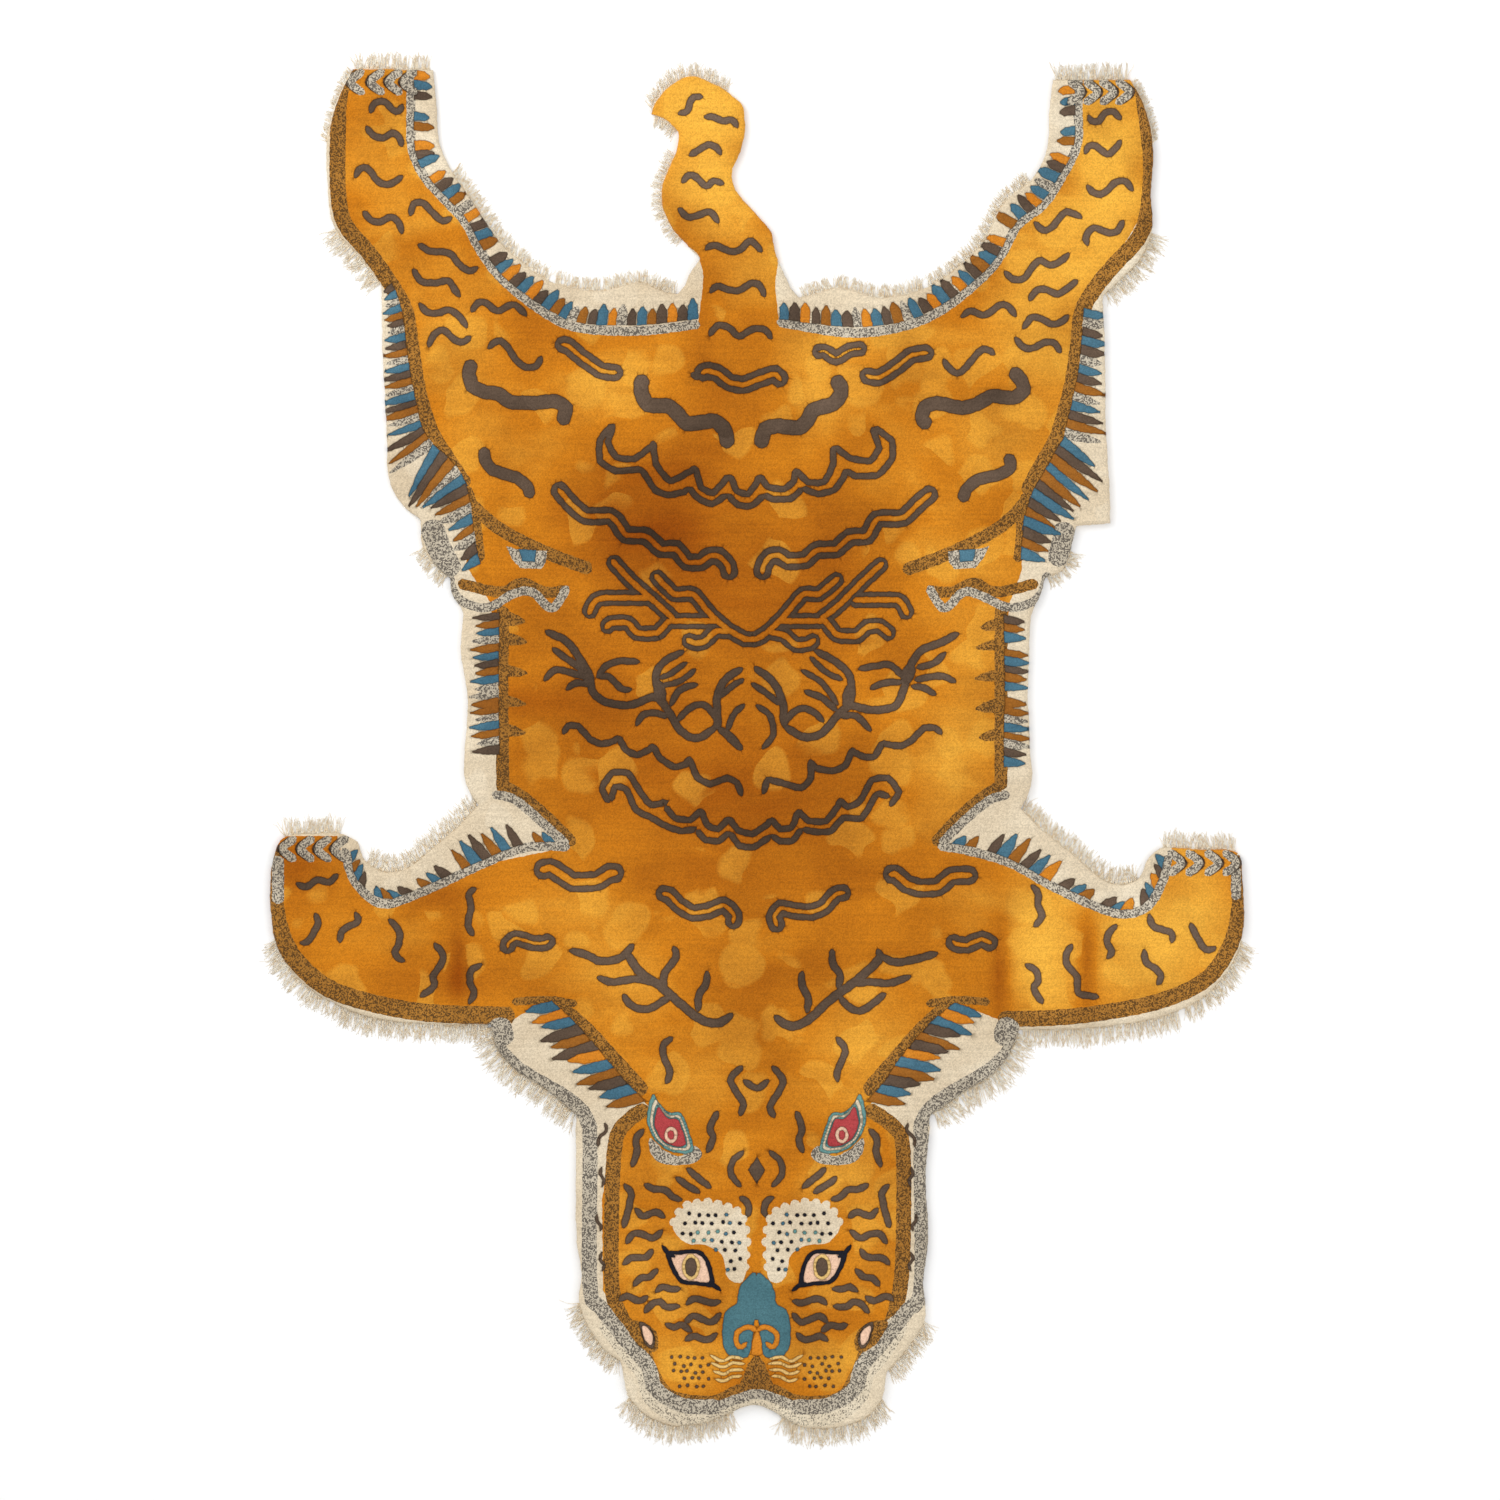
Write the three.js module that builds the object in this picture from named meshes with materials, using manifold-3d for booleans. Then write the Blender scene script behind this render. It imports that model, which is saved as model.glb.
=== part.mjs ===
// A knotted wool rug in the shape of a flat tiger skin, lying pile side up on the floor.
// Units are millimetres. X runs across the rug, +Y runs to the tail and +Z is up.
// The origin is on the floor under the middle of the back.

import * as THREE from 'three';
import { mergeVertices } from 'three/addons/utils/BufferGeometryUtils.js';
import Module from 'manifold-3d';

const wasm = await Module();
wasm.setup();

// Driving dimensions
const CLOTH_LENGTH = 2064; // from the hind paws to the chin, without the fringe
const CLOTH_THICKNESS = 12; // the knotted foundation and its pile
const PILE_ROUNDING = 5; // how far the pile draws in at the cloth's edge
const ROUNDING_START = 6; // height at which that begins
const FRINGE_GAP = 0.3; // between the cloth's edge and the strips that hold the fringe
const STRIP_WIDTH = 4;
const STRIP_HEIGHT = 3;
const STRIP_END_GAP = 9; // left free at each end of a run of fringe
const LOCK_PITCH = 15.6; // from one lock of fringe to the next
const LOCK_ROOT_WIDTH = 12;
const LOCK_TIP_WIDTH = 5;
const LOCK_ROOT_HEIGHT = 3;
const LOCK_TIP_HEIGHT = 1.2;
const PITCH_WANDER = 0.2; // how unevenly the locks are spread, as a share of their pitch
const TURN_WANDER = 0.35; // in radians
const LENGTH_WANDER = 0.4; // as a share of their length
const EDGE_STEP = 26; // longest straight step along the cloth's edge
const EDGE_WANDER = 1.2; // how far a hand-cut edge strays from its line
const GRID_STEP = 36; // squares of the cloth's upper face
const MERGE_DISTANCE = 1e-4;

// The weaver's chart. Its columns count from the left and its rows from the tail end.
const CHART_ROWS_LONG = 135.8; // the cloth's length on the chart
const SQUARE = CLOTH_LENGTH / CHART_ROWS_LONG;
const SPINE_COLUMN = 75;
const MIDDLE_ROW = 74.6;

const table = (columns, rows) =>
  rows.map((row) => Object.fromEntries(columns.map((column, i) => [column, row[i]])));

const onChart = ([column, row]) =>
  new THREE.Vector2((column - SPINE_COLUMN) * SQUARE, (MIDDLE_ROW - row) * SQUARE);

const onFloor = ({ x, y }) => new THREE.Vector3(x, y, 0);

// The cloth's edge from the tail to the chin, on its left and on its right.
const BODY_EDGE = table(['place', 'left', 'right', 'turn'], [
  ['tail root', [70.0, 25.8], [77.6, 25.6], 'corner'],
  ['root side', [69.0, 27.4], [78.5, 27.6], 'round'],
  ['rump dip', [67.8, 29.4], [79.9, 29.7], 'round'],
  ['rump swell', [64.0, 28.3], [83.8, 28.8], 'round'],
  ['rump hollow', [60.0, 29.1], [88.0, 29.8], 'round'],
  ['thigh', [55.2, 28.2], [92.5, 28.8], 'round'],
  ['knee', [52.0, 26.1], [95.8, 26.8], 'round'],
  ['shin', [49.7, 23.8], [98.2, 24.4], 'round'],
  ['calf', [47.3, 20.2], [100.4, 20.4], 'round'],
  ['ankle', [45.1, 17.0], [103.2, 17.9], 'round'],
  ['hind paw neck', [43.9, 14.2], [104.7, 14.8], 'round'],
  ['hind paw inside', [43.7, 11.0], [104.9, 11.5], 'round'],
  ['hind paw inner corner', [43.3, 7.0], [105.3, 8.0], 'corner'],
  ['hind paw outer corner', [35.3, 6.9], [113.0, 8.0], 'corner'],
  ['hind paw outside', [33.9, 9.8], [114.3, 10.3], 'round'],
  ['hind leg outside', [32.7, 14.5], [115.3, 14.8], 'round'],
  ['hock', [32.8, 19.0], [115.1, 19.0], 'round'],
  ['heel', [33.4, 22.6], [115.2, 23.0], 'round'],
  ['heel turn', [35.2, 24.8], [114.0, 25.9], 'round'],
  ['heel foot', [37.0, 26.9], [112.0, 27.9], 'round'],
  ['flank top', [38.1, 28.6], [110.3, 29.6], 'corner'],
  ['flank', [38.3, 36.0], [110.5, 36.0], 'round'],
  ['flank low', [38.7, 43.5], [110.6, 43.5], 'round'],
  ['flank foot', [38.9, 47.8], [110.9, 48.3], 'round'],
  ['belly turn', [40.0, 50.2], [111.0, 50.5], 'round'],
  ['flank step', [41.9, 51.9], [111.0, 52.3], 'corner'],
  ['step inside', [42.1, 52.8], [107.6, 52.6], 'corner'],
  ['mouth side', [42.2, 54.4], [107.1, 54.8], 'round'],
  ['mouth turn', [43.6, 56.6], [106.2, 56.9], 'round'],
  ['mouth end', [45.0, 57.8], [104.5, 57.8], 'corner'],
  ['waist side', [45.3, 59.6], [104.0, 59.6], 'round'],
  ['waist top', [46.2, 61.0], [103.2, 61.3], 'round'],
  ['waist', [46.1, 65.0], [102.9, 65.5], 'round'],
  ['waist fold', [46.8, 70.4], [102.8, 70.2], 'round'],
  ['waist low', [46.5, 74.5], [103.0, 74.5], 'round'],
  ['armpit side', [46.6, 78.4], [103.1, 78.6], 'round'],
  ['armpit', [47.9, 80.5], [102.1, 80.8], 'corner'],
  ['upper arm', [46.0, 82.5], [104.2, 83.0], 'round'],
  ['forearm', [43.3, 84.8], [107.0, 85.2], 'round'],
  ['forearm low', [40.8, 86.8], [110.0, 87.8], 'round'],
  ['wrist', [38.4, 87.2], [112.3, 88.5], 'round'],
  ['front paw notch', [36.5, 86.0], [113.9, 87.8], 'round'],
  ['front paw thumb', [35.7, 84.2], [114.8, 85.9], 'round'],
  ['front paw inner corner', [34.3, 83.4], [116.0, 84.9], 'round'],
  ['front paw top', [31.5, 83.4], [120.0, 85.0], 'round'],
  ['front paw outer corner', [28.3, 83.8], [123.8, 85.3], 'round'],
  ['front paw side', [27.2, 86.5], [124.2, 87.3], 'round'],
  ['elbow side', [27.4, 93.6], [124.2, 93.8], 'round'],
  ['elbow', [28.6, 96.3], [123.1, 96.5], 'round'],
  ['elbow turn', [30.3, 98.3], [121.0, 99.1], 'round'],
  ['arm end', [33.2, 100.2], [118.2, 100.9], 'round'],
  ['arm low', [37.0, 101.7], [114.0, 102.1], 'round'],
  ['shoulder', [42.0, 102.3], [108.5, 102.8], 'round'],
  ['neck corner', [49.1, 102.4], [101.9, 103.0], 'corner'],
  ['neck side', [49.6, 104.7], [101.2, 104.8], 'round'],
  ['neck', [51.6, 107.0], [99.7, 107.0], 'round'],
  ['throat', [54.6, 108.9], [96.4, 109.2], 'round'],
  ['jaw corner', [57.6, 111.5], [93.1, 111.6], 'corner'],
  ['temple', [57.6, 117.0], [92.6, 117.5], 'round'],
  ['cheek side', [57.7, 124.5], [92.8, 124.0], 'round'],
  ['cheek dent', [58.2, 127.6], [92.3, 128.6], 'round'],
  ['cheek', [57.9, 130.0], [92.5, 131.8], 'round'],
  ['jowl', [59.0, 132.9], [91.0, 134.4], 'round'],
  ['jowl low', [60.7, 135.2], [89.6, 136.2], 'round'],
  ['whisker dent', [62.1, 136.3], [88.7, 137.2], 'round'],
  ['muzzle side', [62.6, 139.0], [88.3, 139.5], 'round'],
  ['muzzle turn', [64.3, 141.3], [86.9, 141.5], 'round'],
  ['muzzle', [67.3, 142.5], [83.8, 142.7], 'round'],
  ['muzzle inside', [71.0, 142.1], [80.0, 142.6], 'round'],
  ['chin side', [73.6, 141.0], [77.8, 141.4], 'round'],
]);
const CHIN = [75.7, 140.5];

// The tail from its root to its hooked tip.
const TAIL_EDGE = table(['place', 'left', 'right', 'turn'], [
  ['tail bend', [68.4, 24.2], [77.1, 23.3], 'round'],
  ['tail low bulge', [67.2, 22.7], [75.8, 21.6], 'round'],
  ['tail swing', [66.3, 20.7], [74.3, 20.0], 'round'],
  ['tail bow', [66.2, 19.0], [73.4, 18.7], 'round'],
  ['tail middle', [66.7, 17.3], [73.2, 17.2], 'round'],
  ['tail neck', [67.6, 15.2], [74.0, 15.2], 'round'],
  ['tail high bulge', [67.8, 13.2], [74.5, 12.8], 'round'],
  ['tail hook', [66.6, 12.0], [74.2, 10.5], 'round'],
  ['tail tip', [65.2, 11.4], [73.0, 9.4], 'round'],
  ['tail curl', [65.9, 9.8], [71.2, 8.3], 'round'],
  ['tail top', [67.4, 8.3], [69.2, 7.6], 'round'],
]);

// The creases and swells in which the rug lies: a soft ridge along each line, in millimetres of height.
const FOLDS = table(['name', 'from', 'to', 'halfWidth', 'height'], [
  ['right wrist crease', [108.6, 89.0], [108.9, 103.5], 34, 3.0],
  ['right shoulder crease', [99.8, 88.0], [100.2, 104.0], 34, 2.4],
  ['left shoulder crease', [45.6, 87.0], [46.0, 103.0], 34, 2.4],
  ['left waist crease', [45.0, 70.6], [61.0, 71.6], 40, 2.6],
  ['right waist crease', [90.0, 70.8], [104.0, 70.2], 40, 2.0],
  ['left rump swell', [64.0, 33.0], [57.0, 56.0], 90, 2.2],
  ['right rump swell', [88.0, 33.0], [84.0, 56.0], 90, 2.2],
  ['spine swell', [75.0, 30.0], [75.5, 66.0], 80, 1.6],
  ['neck swell', [66.0, 108.0], [86.0, 108.0], 80, 2.0],
]);

// The runs of fringe. Lean is 0 for strands that lie square to the edge and 1 for strands along the warp.
const BODY_FRINGES = table(['name', 'from', 'to', 'reach', 'lean'], [
  ['rump', 'rump dip', 'thigh', 18, 0.5],
  ['thigh', 'thigh', 'ankle', 17, 0.3],
  ['hind_paw', 'hind paw inner corner', 'hind paw outer corner', 27, 0.8],
  ['hind_side', 'hind paw outer corner', 'hind leg outside', 12, 0.3],
  ['heel', 'heel', 'flank top', 26, 0.1],
  ['mouth', 'mouth side', 'mouth end', 16, 0.1],
  ['forearm', 'armpit', 'front paw notch', 24, 0.5],
  ['front_paw', 'front paw inner corner', 'front paw outer corner', 29, 0.8],
  ['elbow', 'elbow side', 'arm end', 25, 0.3],
  ['arm', 'arm end', 'neck corner', 24, 0.6],
  ['neck', 'neck corner', 'jaw corner', 26, 0.2],
  ['jowl', 'cheek', 'whisker dent', 18, 0.3],
  ['muzzle', 'muzzle side', 'chin side', 21, 0.6],
]);
const TAIL_FRINGES = table(['name', 'fromSide', 'from', 'toSide', 'to', 'reach', 'lean'], [
  ['tail_bow', 'left', 'tail neck', 'left', 'tail bend', 13, 0.0],
  ['tail_hook', 'left', 'tail tip', 'left', 'tail high bulge', 15, 0.2],
  ['tail_tip', 'right', 'tail tip', 'left', 'tail tip', 18, 0.4],
]);

const WOOL = new THREE.MeshStandardMaterial({ color: 0xcb7f1c, roughness: 0.95, metalness: 0 });
const COTTON = new THREE.MeshStandardMaterial({ color: 0xe9dcc4, roughness: 0.9, metalness: 0 });

// An even spread of numbers from -0.5 to 0.5, the same on every run.
const uneven = (seed) => {
  const turned = Math.sin(seed * 12.9898 + 4.1) * 43758.5453;
  return turned - Math.floor(turned) - 0.5;
};

// Every landmark of the edge in order: down the left side, up the right side and round the tail.
function landmarks() {
  const mark = (row, name) => ({ key: `${name} ${row.place}`, at: onChart(row[name]), turn: row.turn });
  const side = (rows, name) => rows.map((row) => mark(row, name));
  return [
    ...side(BODY_EDGE, 'left'),
    { key: 'chin', at: onChart(CHIN), turn: 'round' },
    ...side(BODY_EDGE, 'right').reverse(),
    ...side(TAIL_EDGE, 'right'),
    ...side(TAIL_EDGE, 'left').reverse(),
  ];
}

// The closed edge as points no further apart than EDGE_STEP, and where in it each landmark is.
function clothEdge() {
  const marks = landmarks();
  marks.push({ ...marks[0], key: 'end' });
  const points = [];
  const indexOf = {};
  let start = 0;
  for (let end = 1; end < marks.length; end += 1) {
    if (marks[end].turn !== 'corner') continue;
    const stretch = marks.slice(start, end + 1);
    const spans = stretch.length - 1;
    const curve = new THREE.CatmullRomCurve3(stretch.map(({ at }) => onFloor(at)));
    for (let i = 0; i < spans; i += 1) {
      indexOf[stretch[i].key] = points.length;
      const steps = Math.ceil(stretch[i].at.distanceTo(stretch[i + 1].at) / EDGE_STEP);
      for (let j = 0; j < steps; j += 1) {
        const { x, y } = curve.getPoint((i + j / steps) / spans);
        points.push(new THREE.Vector2(x, y));
      }
    }
    start = end;
  }
  return { points: moved(points, outwards(points), (i) => EDGE_WANDER * uneven(i)), indexOf };
}

// The outward direction of the edge at each of its points.
function outwards(points) {
  return points.map((point, i) => {
    const before = points[(i - 1 + points.length) % points.length];
    const after = points[(i + 1) % points.length];
    const into = point.clone().sub(before).normalize();
    const away = after.clone().sub(point).normalize();
    const along = into.add(away).normalize();
    const miter = Math.max(Math.cos(along.angleTo(away)), 0.5);
    return new THREE.Vector2(along.y, -along.x).divideScalar(miter);
  });
}

// The points moved outwards by a distance, or by a distance that depends on the place in the list.
function moved(points, directions, distance) {
  const far = typeof distance === 'function' ? distance : () => distance;
  return points.map((point, i) => point.clone().addScaledVector(directions[i], far(i)));
}

function facesOf(positions, triangles) {
  const geometry = new THREE.BufferGeometry();
  geometry.setAttribute('position', new THREE.Float32BufferAttribute(positions, 3));
  geometry.setIndex([...triangles]);
  return geometry;
}

function asSolid(geometry) {
  const bare = geometry.clone();
  bare.deleteAttribute('normal');
  bare.deleteAttribute('uv');
  const merged = mergeVertices(bare, MERGE_DISTANCE);
  const vertProperties = new Float32Array(merged.attributes.position.array);
  const triVerts = new Uint32Array(merged.index.array);
  return new wasm.Manifold(new wasm.Mesh({ numProp: 3, vertProperties, triVerts }));
}

function asMesh(name, solid, material) {
  const { vertProperties, triVerts } = solid.getMesh();
  const geometry = facesOf(vertProperties, triVerts);
  geometry.computeVertexNormals();
  const mesh = new THREE.Mesh(geometry, material);
  mesh.name = name;
  return mesh;
}

// The side faces between each two levels of a stack with the same number of points in every level.
function stackWalls(levels, count) {
  const walls = [];
  for (let level = 0; level < levels - 1; level += 1) {
    for (let i = 0; i < count; i += 1) {
      const next = (i + 1) % count;
      const low = level * count;
      const high = low + count;
      walls.push([low + i, low + next, high + next], [low + i, high + next, high + i]);
    }
  }
  return walls;
}

// A closed solid from counter-clockwise levels of points, the lowest first.
function stackedSolid(levels) {
  const flat = levels[0].points;
  const positions = levels.flatMap(({ points, z }) => points.flatMap(({ x, y }) => [x, y, z]));
  const top = (levels.length - 1) * flat.length;
  const triangles = stackWalls(levels.length, flat.length);
  for (const face of THREE.ShapeUtils.triangulateShape(flat, [])) {
    const faceUp = THREE.ShapeUtils.area(face.map((i) => flat[i])) > 0;
    const [a, b, c] = faceUp ? face : [...face].reverse();
    triangles.push([a, c, b], [top + a, top + b, top + c]);
  }
  return asSolid(facesOf(positions, triangles.flat()));
}

// The height of the cloth's upper face over a place on the floor.
function topHeight(place) {
  let height = CLOTH_THICKNESS;
  for (const fold of FOLDS) {
    const line = new THREE.Line3(onFloor(onChart(fold.from)), onFloor(onChart(fold.to)));
    const nearest = line.closestPointToPoint(place, true, new THREE.Vector3());
    const share = Math.min(nearest.distanceTo(place) / fold.halfWidth, 1);
    height += fold.height * Math.cos((share * Math.PI) / 2) ** 2;
  }
  return height;
}

// A block wider than the rug, with the folds in its upper face.
function foldedBlock(edge) {
  const box = new THREE.Box2().setFromPoints(edge).expandByScalar(GRID_STEP);
  const size = box.getSize(new THREE.Vector2());
  const middle = box.getCenter(new THREE.Vector2());
  const columns = Math.ceil(size.x / GRID_STEP);
  const rows = Math.ceil(size.y / GRID_STEP);
  const block = new THREE.BoxGeometry(size.x, size.y, CLOTH_THICKNESS * 2, columns, rows, 1);
  block.translate(middle.x, middle.y, 0);
  const position = block.attributes.position;
  for (let i = 0; i < position.count; i += 1) {
    const place = { x: position.getX(i), y: position.getY(i) };
    if (position.getZ(i) > 0) position.setZ(i, topHeight(onFloor(place)));
  }
  return asSolid(block);
}

// The cloth stands straight at its edge and rounds in towards the top of the pile.
function clothSolid(edge, directions) {
  const foldTop = Math.max(...FOLDS.map(({ height }) => height));
  const levels = [
    { z: 0, drawnIn: 0 },
    { z: ROUNDING_START, drawnIn: 0 },
    { z: (ROUNDING_START + CLOTH_THICKNESS) / 2, drawnIn: PILE_ROUNDING * 0.25 },
    { z: CLOTH_THICKNESS, drawnIn: PILE_ROUNDING },
    { z: CLOTH_THICKNESS + foldTop * 2, drawnIn: PILE_ROUNDING * 1.5 },
  ];
  const stack = levels.map(({ z, drawnIn }) => ({ z, points: moved(edge, directions, -drawnIn) }));
  return stackedSolid(stack).intersect(foldedBlock(edge));
}

// One lock of fringe, four-sided, tapered and level on the floor.
function lockSolid(root, direction, length) {
  const across = new THREE.Vector2(-direction.y, direction.x);
  const tip = root.clone().addScaledVector(direction, length);
  const corners = [
    { end: root, side: LOCK_ROOT_WIDTH / 2, height: LOCK_ROOT_HEIGHT },
    { end: root, side: -LOCK_ROOT_WIDTH / 2, height: LOCK_ROOT_HEIGHT },
    { end: tip, side: -LOCK_TIP_WIDTH / 2, height: LOCK_TIP_HEIGHT },
    { end: tip, side: LOCK_TIP_WIDTH / 2, height: LOCK_TIP_HEIGHT },
  ];
  const places = corners.map(({ end, side }) => end.clone().addScaledVector(across, side));
  const low = places.flatMap(({ x, y }) => [x, y, 0]);
  const high = places.flatMap(({ x, y }, i) => [x, y, corners[i].height]);
  const ends = [[0, 2, 1], [0, 3, 2], [4, 5, 6], [4, 6, 7]];
  return asSolid(facesOf([...low, ...high], [...ends, ...stackWalls(2, 4)].flat()));
}

// The part of the edge from one landmark to the next, drawn in a little at both ends.
function edgeRun(edge, directions, first, last) {
  const steps = (last - first + edge.length) % edge.length;
  const places = Array.from({ length: steps + 1 }, (_, i) => (first + i) % edge.length);
  const at = places.map((i) => edge[i].clone());
  at[0].lerp(at[1], STRIP_END_GAP / at[0].distanceTo(at[1]));
  at[steps].lerp(at[steps - 1], STRIP_END_GAP / at[steps].distanceTo(at[steps - 1]));
  return { at, out: places.map((i) => directions[i]) };
}

function stripSolid({ at, out }) {
  const inner = moved(at, out, -STRIP_WIDTH);
  const outer = moved(at, out, FRINGE_GAP + STRIP_WIDTH);
  const points = [...outer, ...inner.reverse()];
  return stackedSolid([{ z: 0, points }, { z: STRIP_HEIGHT, points }]);
}

// A run of fringe: the strip along the edge and the locks that leave it, before it is cut off the cloth.
function fringeSolid(run, { reach, lean }, seed) {
  const line = new THREE.CurvePath();
  run.at.slice(1).forEach((point, i) => line.add(new THREE.LineCurve(run.at[i], point)));
  const locks = Math.round(line.getLength() / LOCK_PITCH);
  let solid = stripSolid(run);
  for (let i = 0; i < locks; i += 1) {
    const root = line.getPoint((i + 0.5 + PITCH_WANDER * uneven(seed + i)) / locks);
    const distances = run.at.map((point) => point.distanceTo(root));
    const normal = run.out[distances.indexOf(Math.min(...distances))].clone().normalize();
    const warp = new THREE.Vector2(0, Math.sign(normal.y));
    const direction = normal.lerp(warp, lean).normalize();
    direction.rotateAround(new THREE.Vector2(), TURN_WANDER * uneven(seed + i + 0.3));
    const length = reach * (1 + LENGTH_WANDER * uneven(seed + i + 0.6));
    solid = solid.add(lockSolid(root, direction, length));
  }
  return solid;
}

// Every run of fringe by name, with its ends in the order of the edge's points.
function fringeRuns() {
  const left = BODY_FRINGES.map((row) => ({ ...row, fromSide: 'left', toSide: 'left' }));
  const right = BODY_FRINGES.map((row) => ({ ...row, fromSide: 'right', toSide: 'right' }));
  return [
    ...left.map((row) => ({ ...row, name: `left_${row.name}` })),
    ...right.map((row) => ({ ...row, name: `right_${row.name}`, from: row.to, to: row.from })),
    ...TAIL_FRINGES,
  ];
}

function build() {
  const { points: edge, indexOf } = clothEdge();
  const directions = outwards(edge);
  const rug = new THREE.Group();
  rug.add(asMesh('rug_cloth', clothSolid(edge, directions), WOOL));
  const guard = moved(edge, directions, FRINGE_GAP);
  const clothRoom = stackedSolid([{ z: -1, points: guard }, { z: CLOTH_THICKNESS, points: guard }]);
  fringeRuns().forEach((row, i) => {
    const first = indexOf[`${row.fromSide} ${row.from}`];
    const last = indexOf[`${row.toSide} ${row.to}`];
    const solid = fringeSolid(edgeRun(edge, directions, first, last), row, i * 53);
    rug.add(asMesh(`fringe_${row.name}`, solid.subtract(clothRoom), COTTON));
  });
  return rug;
}

export default build();
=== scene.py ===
# A knotted wool rug in the shape of a flat tiger skin, laid pile side up on a pale floor.
# Lengths are in metres. The pattern's places and widths are in pixels of the photograph, read off it.

import math
import random

import bpy
import numpy as np
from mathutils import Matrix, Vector, kdtree
from mathutils.bvhtree import BVHTree
from mathutils.geometry import delaunay_2d_cdt


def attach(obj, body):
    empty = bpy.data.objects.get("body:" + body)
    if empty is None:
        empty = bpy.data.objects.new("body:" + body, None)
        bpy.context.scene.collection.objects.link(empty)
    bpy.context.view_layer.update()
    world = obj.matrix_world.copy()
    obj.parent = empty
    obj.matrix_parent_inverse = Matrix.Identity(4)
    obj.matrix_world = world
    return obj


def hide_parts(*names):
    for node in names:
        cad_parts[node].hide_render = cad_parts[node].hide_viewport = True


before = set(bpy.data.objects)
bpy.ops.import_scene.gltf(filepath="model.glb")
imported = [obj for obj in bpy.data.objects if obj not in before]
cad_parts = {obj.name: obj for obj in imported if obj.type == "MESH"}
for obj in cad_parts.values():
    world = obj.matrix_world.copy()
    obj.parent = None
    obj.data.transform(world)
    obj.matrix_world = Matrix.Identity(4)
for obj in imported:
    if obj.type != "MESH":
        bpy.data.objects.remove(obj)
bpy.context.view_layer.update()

MM = 0.001

# Driving dimensions
CLOTH_LENGTH = 2.064  # from the hind paws to the chin, without the fringe
CLOTH_LENGTH_PX = 1358  # the same length in the photograph
PIXEL = CLOTH_LENGTH / CLOTH_LENGTH_PX  # one pixel on the cloth
SPINE_PX = 750  # the photograph's column over x = 0
MIDDLE_PX = 746  # its row over y = 0
EDGE_PROFILE = ((0.0, 6.0), (1.2, 9.6), (3.0, 11.3), (5.5, 12.0))  # height by distance from the edge, mm

# The mesh of the pile
EDGE_STEP = 5 * MM
BORDER_STEP = 4.5 * MM
GRID_STEP = 9 * MM
BESIDE_BORDER = 2.4 * MM  # from a carved line to the full height of the pile
CLOSEST_POINTS = 1.6 * MM
CARVE_DEPTH = 1.5 * MM
SOFT_CARVE_DEPTH = 0.5 * MM
BORDER_WANDER = 0.8 * MM  # how unevenly a border is knotted
EDGE_WANDER = 0.7 * MM  # how unevenly the edge is trimmed
PILE_WAVE = 0.35 * MM
SHARP_CORNER = math.radians(50)  # the edge turns softly up to here
FLAT = 0.01 * MM  # corners below this are on the solid's underside
EDGE_CLEARANCE = 1.2 * MM  # borders that come nearer to the edge are left out of the mesh
BESIDE_CLEARANCE = 2 * MM
GRID_CLEARANCE = 5 * MM
CLOSEST_AT_EDGE = 0.7 * MM
EDGE_SAMPLE = 0.8 * MM  # how finely distances from the edge are measured

# The map for the finish
MAP_SHARE = 0.98
MAP_MARGIN = 0.01
WALL_ON_MAP = 5 * MM
BACK_MAP_SHARE = 0.38

# The fringe
STRAND_PITCH = 0.8 * MM
STRAND_RADIUS = 0.62 * MM
ROOT_SWELL = 1.15  # radius at the root, and how much of it goes towards the tip
TIP_TAPER = 0.75
STRAND_SIDES = 3
STRAND_RINGS = 7
STRAND_TURN = 0.10  # in radians, as the clumps' turn
STRAND_BEND = 0.16  # sideways at the tip, as a share of the reach
STRAND_WAVE = 0.05
STRAND_WAVES = (0.6, 1.4)
STRAND_REACH = (0.8, 1.1)
STRAND_RISE = 1.2 * MM
ROOT_HEIGHT = 2.4 * MM
ROOT_INSIDE = 2.0 * MM
CLUMP_STRANDS = 5
CLUMP_TURN = 0.16
CLUMP_REACH = (-0.18, 0.14)
HEADING_WIDTH = 3.6 * MM
HEADING_HEIGHT = 2.2 * MM
HEADING_INSIDE = 1.5 * MM
HEADING_LIFT = 0.1 * MM
RUN_REACH = 6.5 * MM  # how near the edge a run of fringe must be

# The camera and the light
PICTURE_PX = 1500  # the photograph's width
PICTURE_MIDDLE = (750, 750)
CAMERA_HEIGHT = 4.0
FLOOR_SIZE = 9.0
FLOOR_DROP = 0.2 * MM
FLOOR_COLOUR = (0.94, 0.94, 0.94, 1)
FLOOR_ROUGHNESS = 0.9
WORLD_STRENGTH = 0.85
LAMPS = (
    # name, place, size, power
    ("window", (-2.2, 2.4, 2.6), 2.0, 60),
    ("fill", (2.4, -1.0, 3.0), 2.5, 25),
)

SEED = 7

# The creases and swells in which the rug lies, as on the solid: a soft ridge along each line.
FOLDS = (
    # name, from, to, half width in mm, height in mm
    ("right wrist crease", (1086, 890), (1089, 1035), 34, 3.0),
    ("right shoulder crease", (998, 880), (1002, 1040), 34, 2.4),
    ("left shoulder crease", (456, 870), (460, 1030), 34, 2.4),
    ("left waist crease", (450, 706), (610, 716), 40, 2.6),
    ("right waist crease", (900, 708), (1040, 702), 40, 2.0),
    ("left rump swell", (640, 330), (570, 560), 90, 2.2),
    ("right rump swell", (880, 330), (840, 560), 90, 2.2),
    ("spine swell", (750, 300), (755, 660), 80, 1.6),
    ("neck swell", (660, 1080), (860, 1080), 80, 2.0),
)

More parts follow.
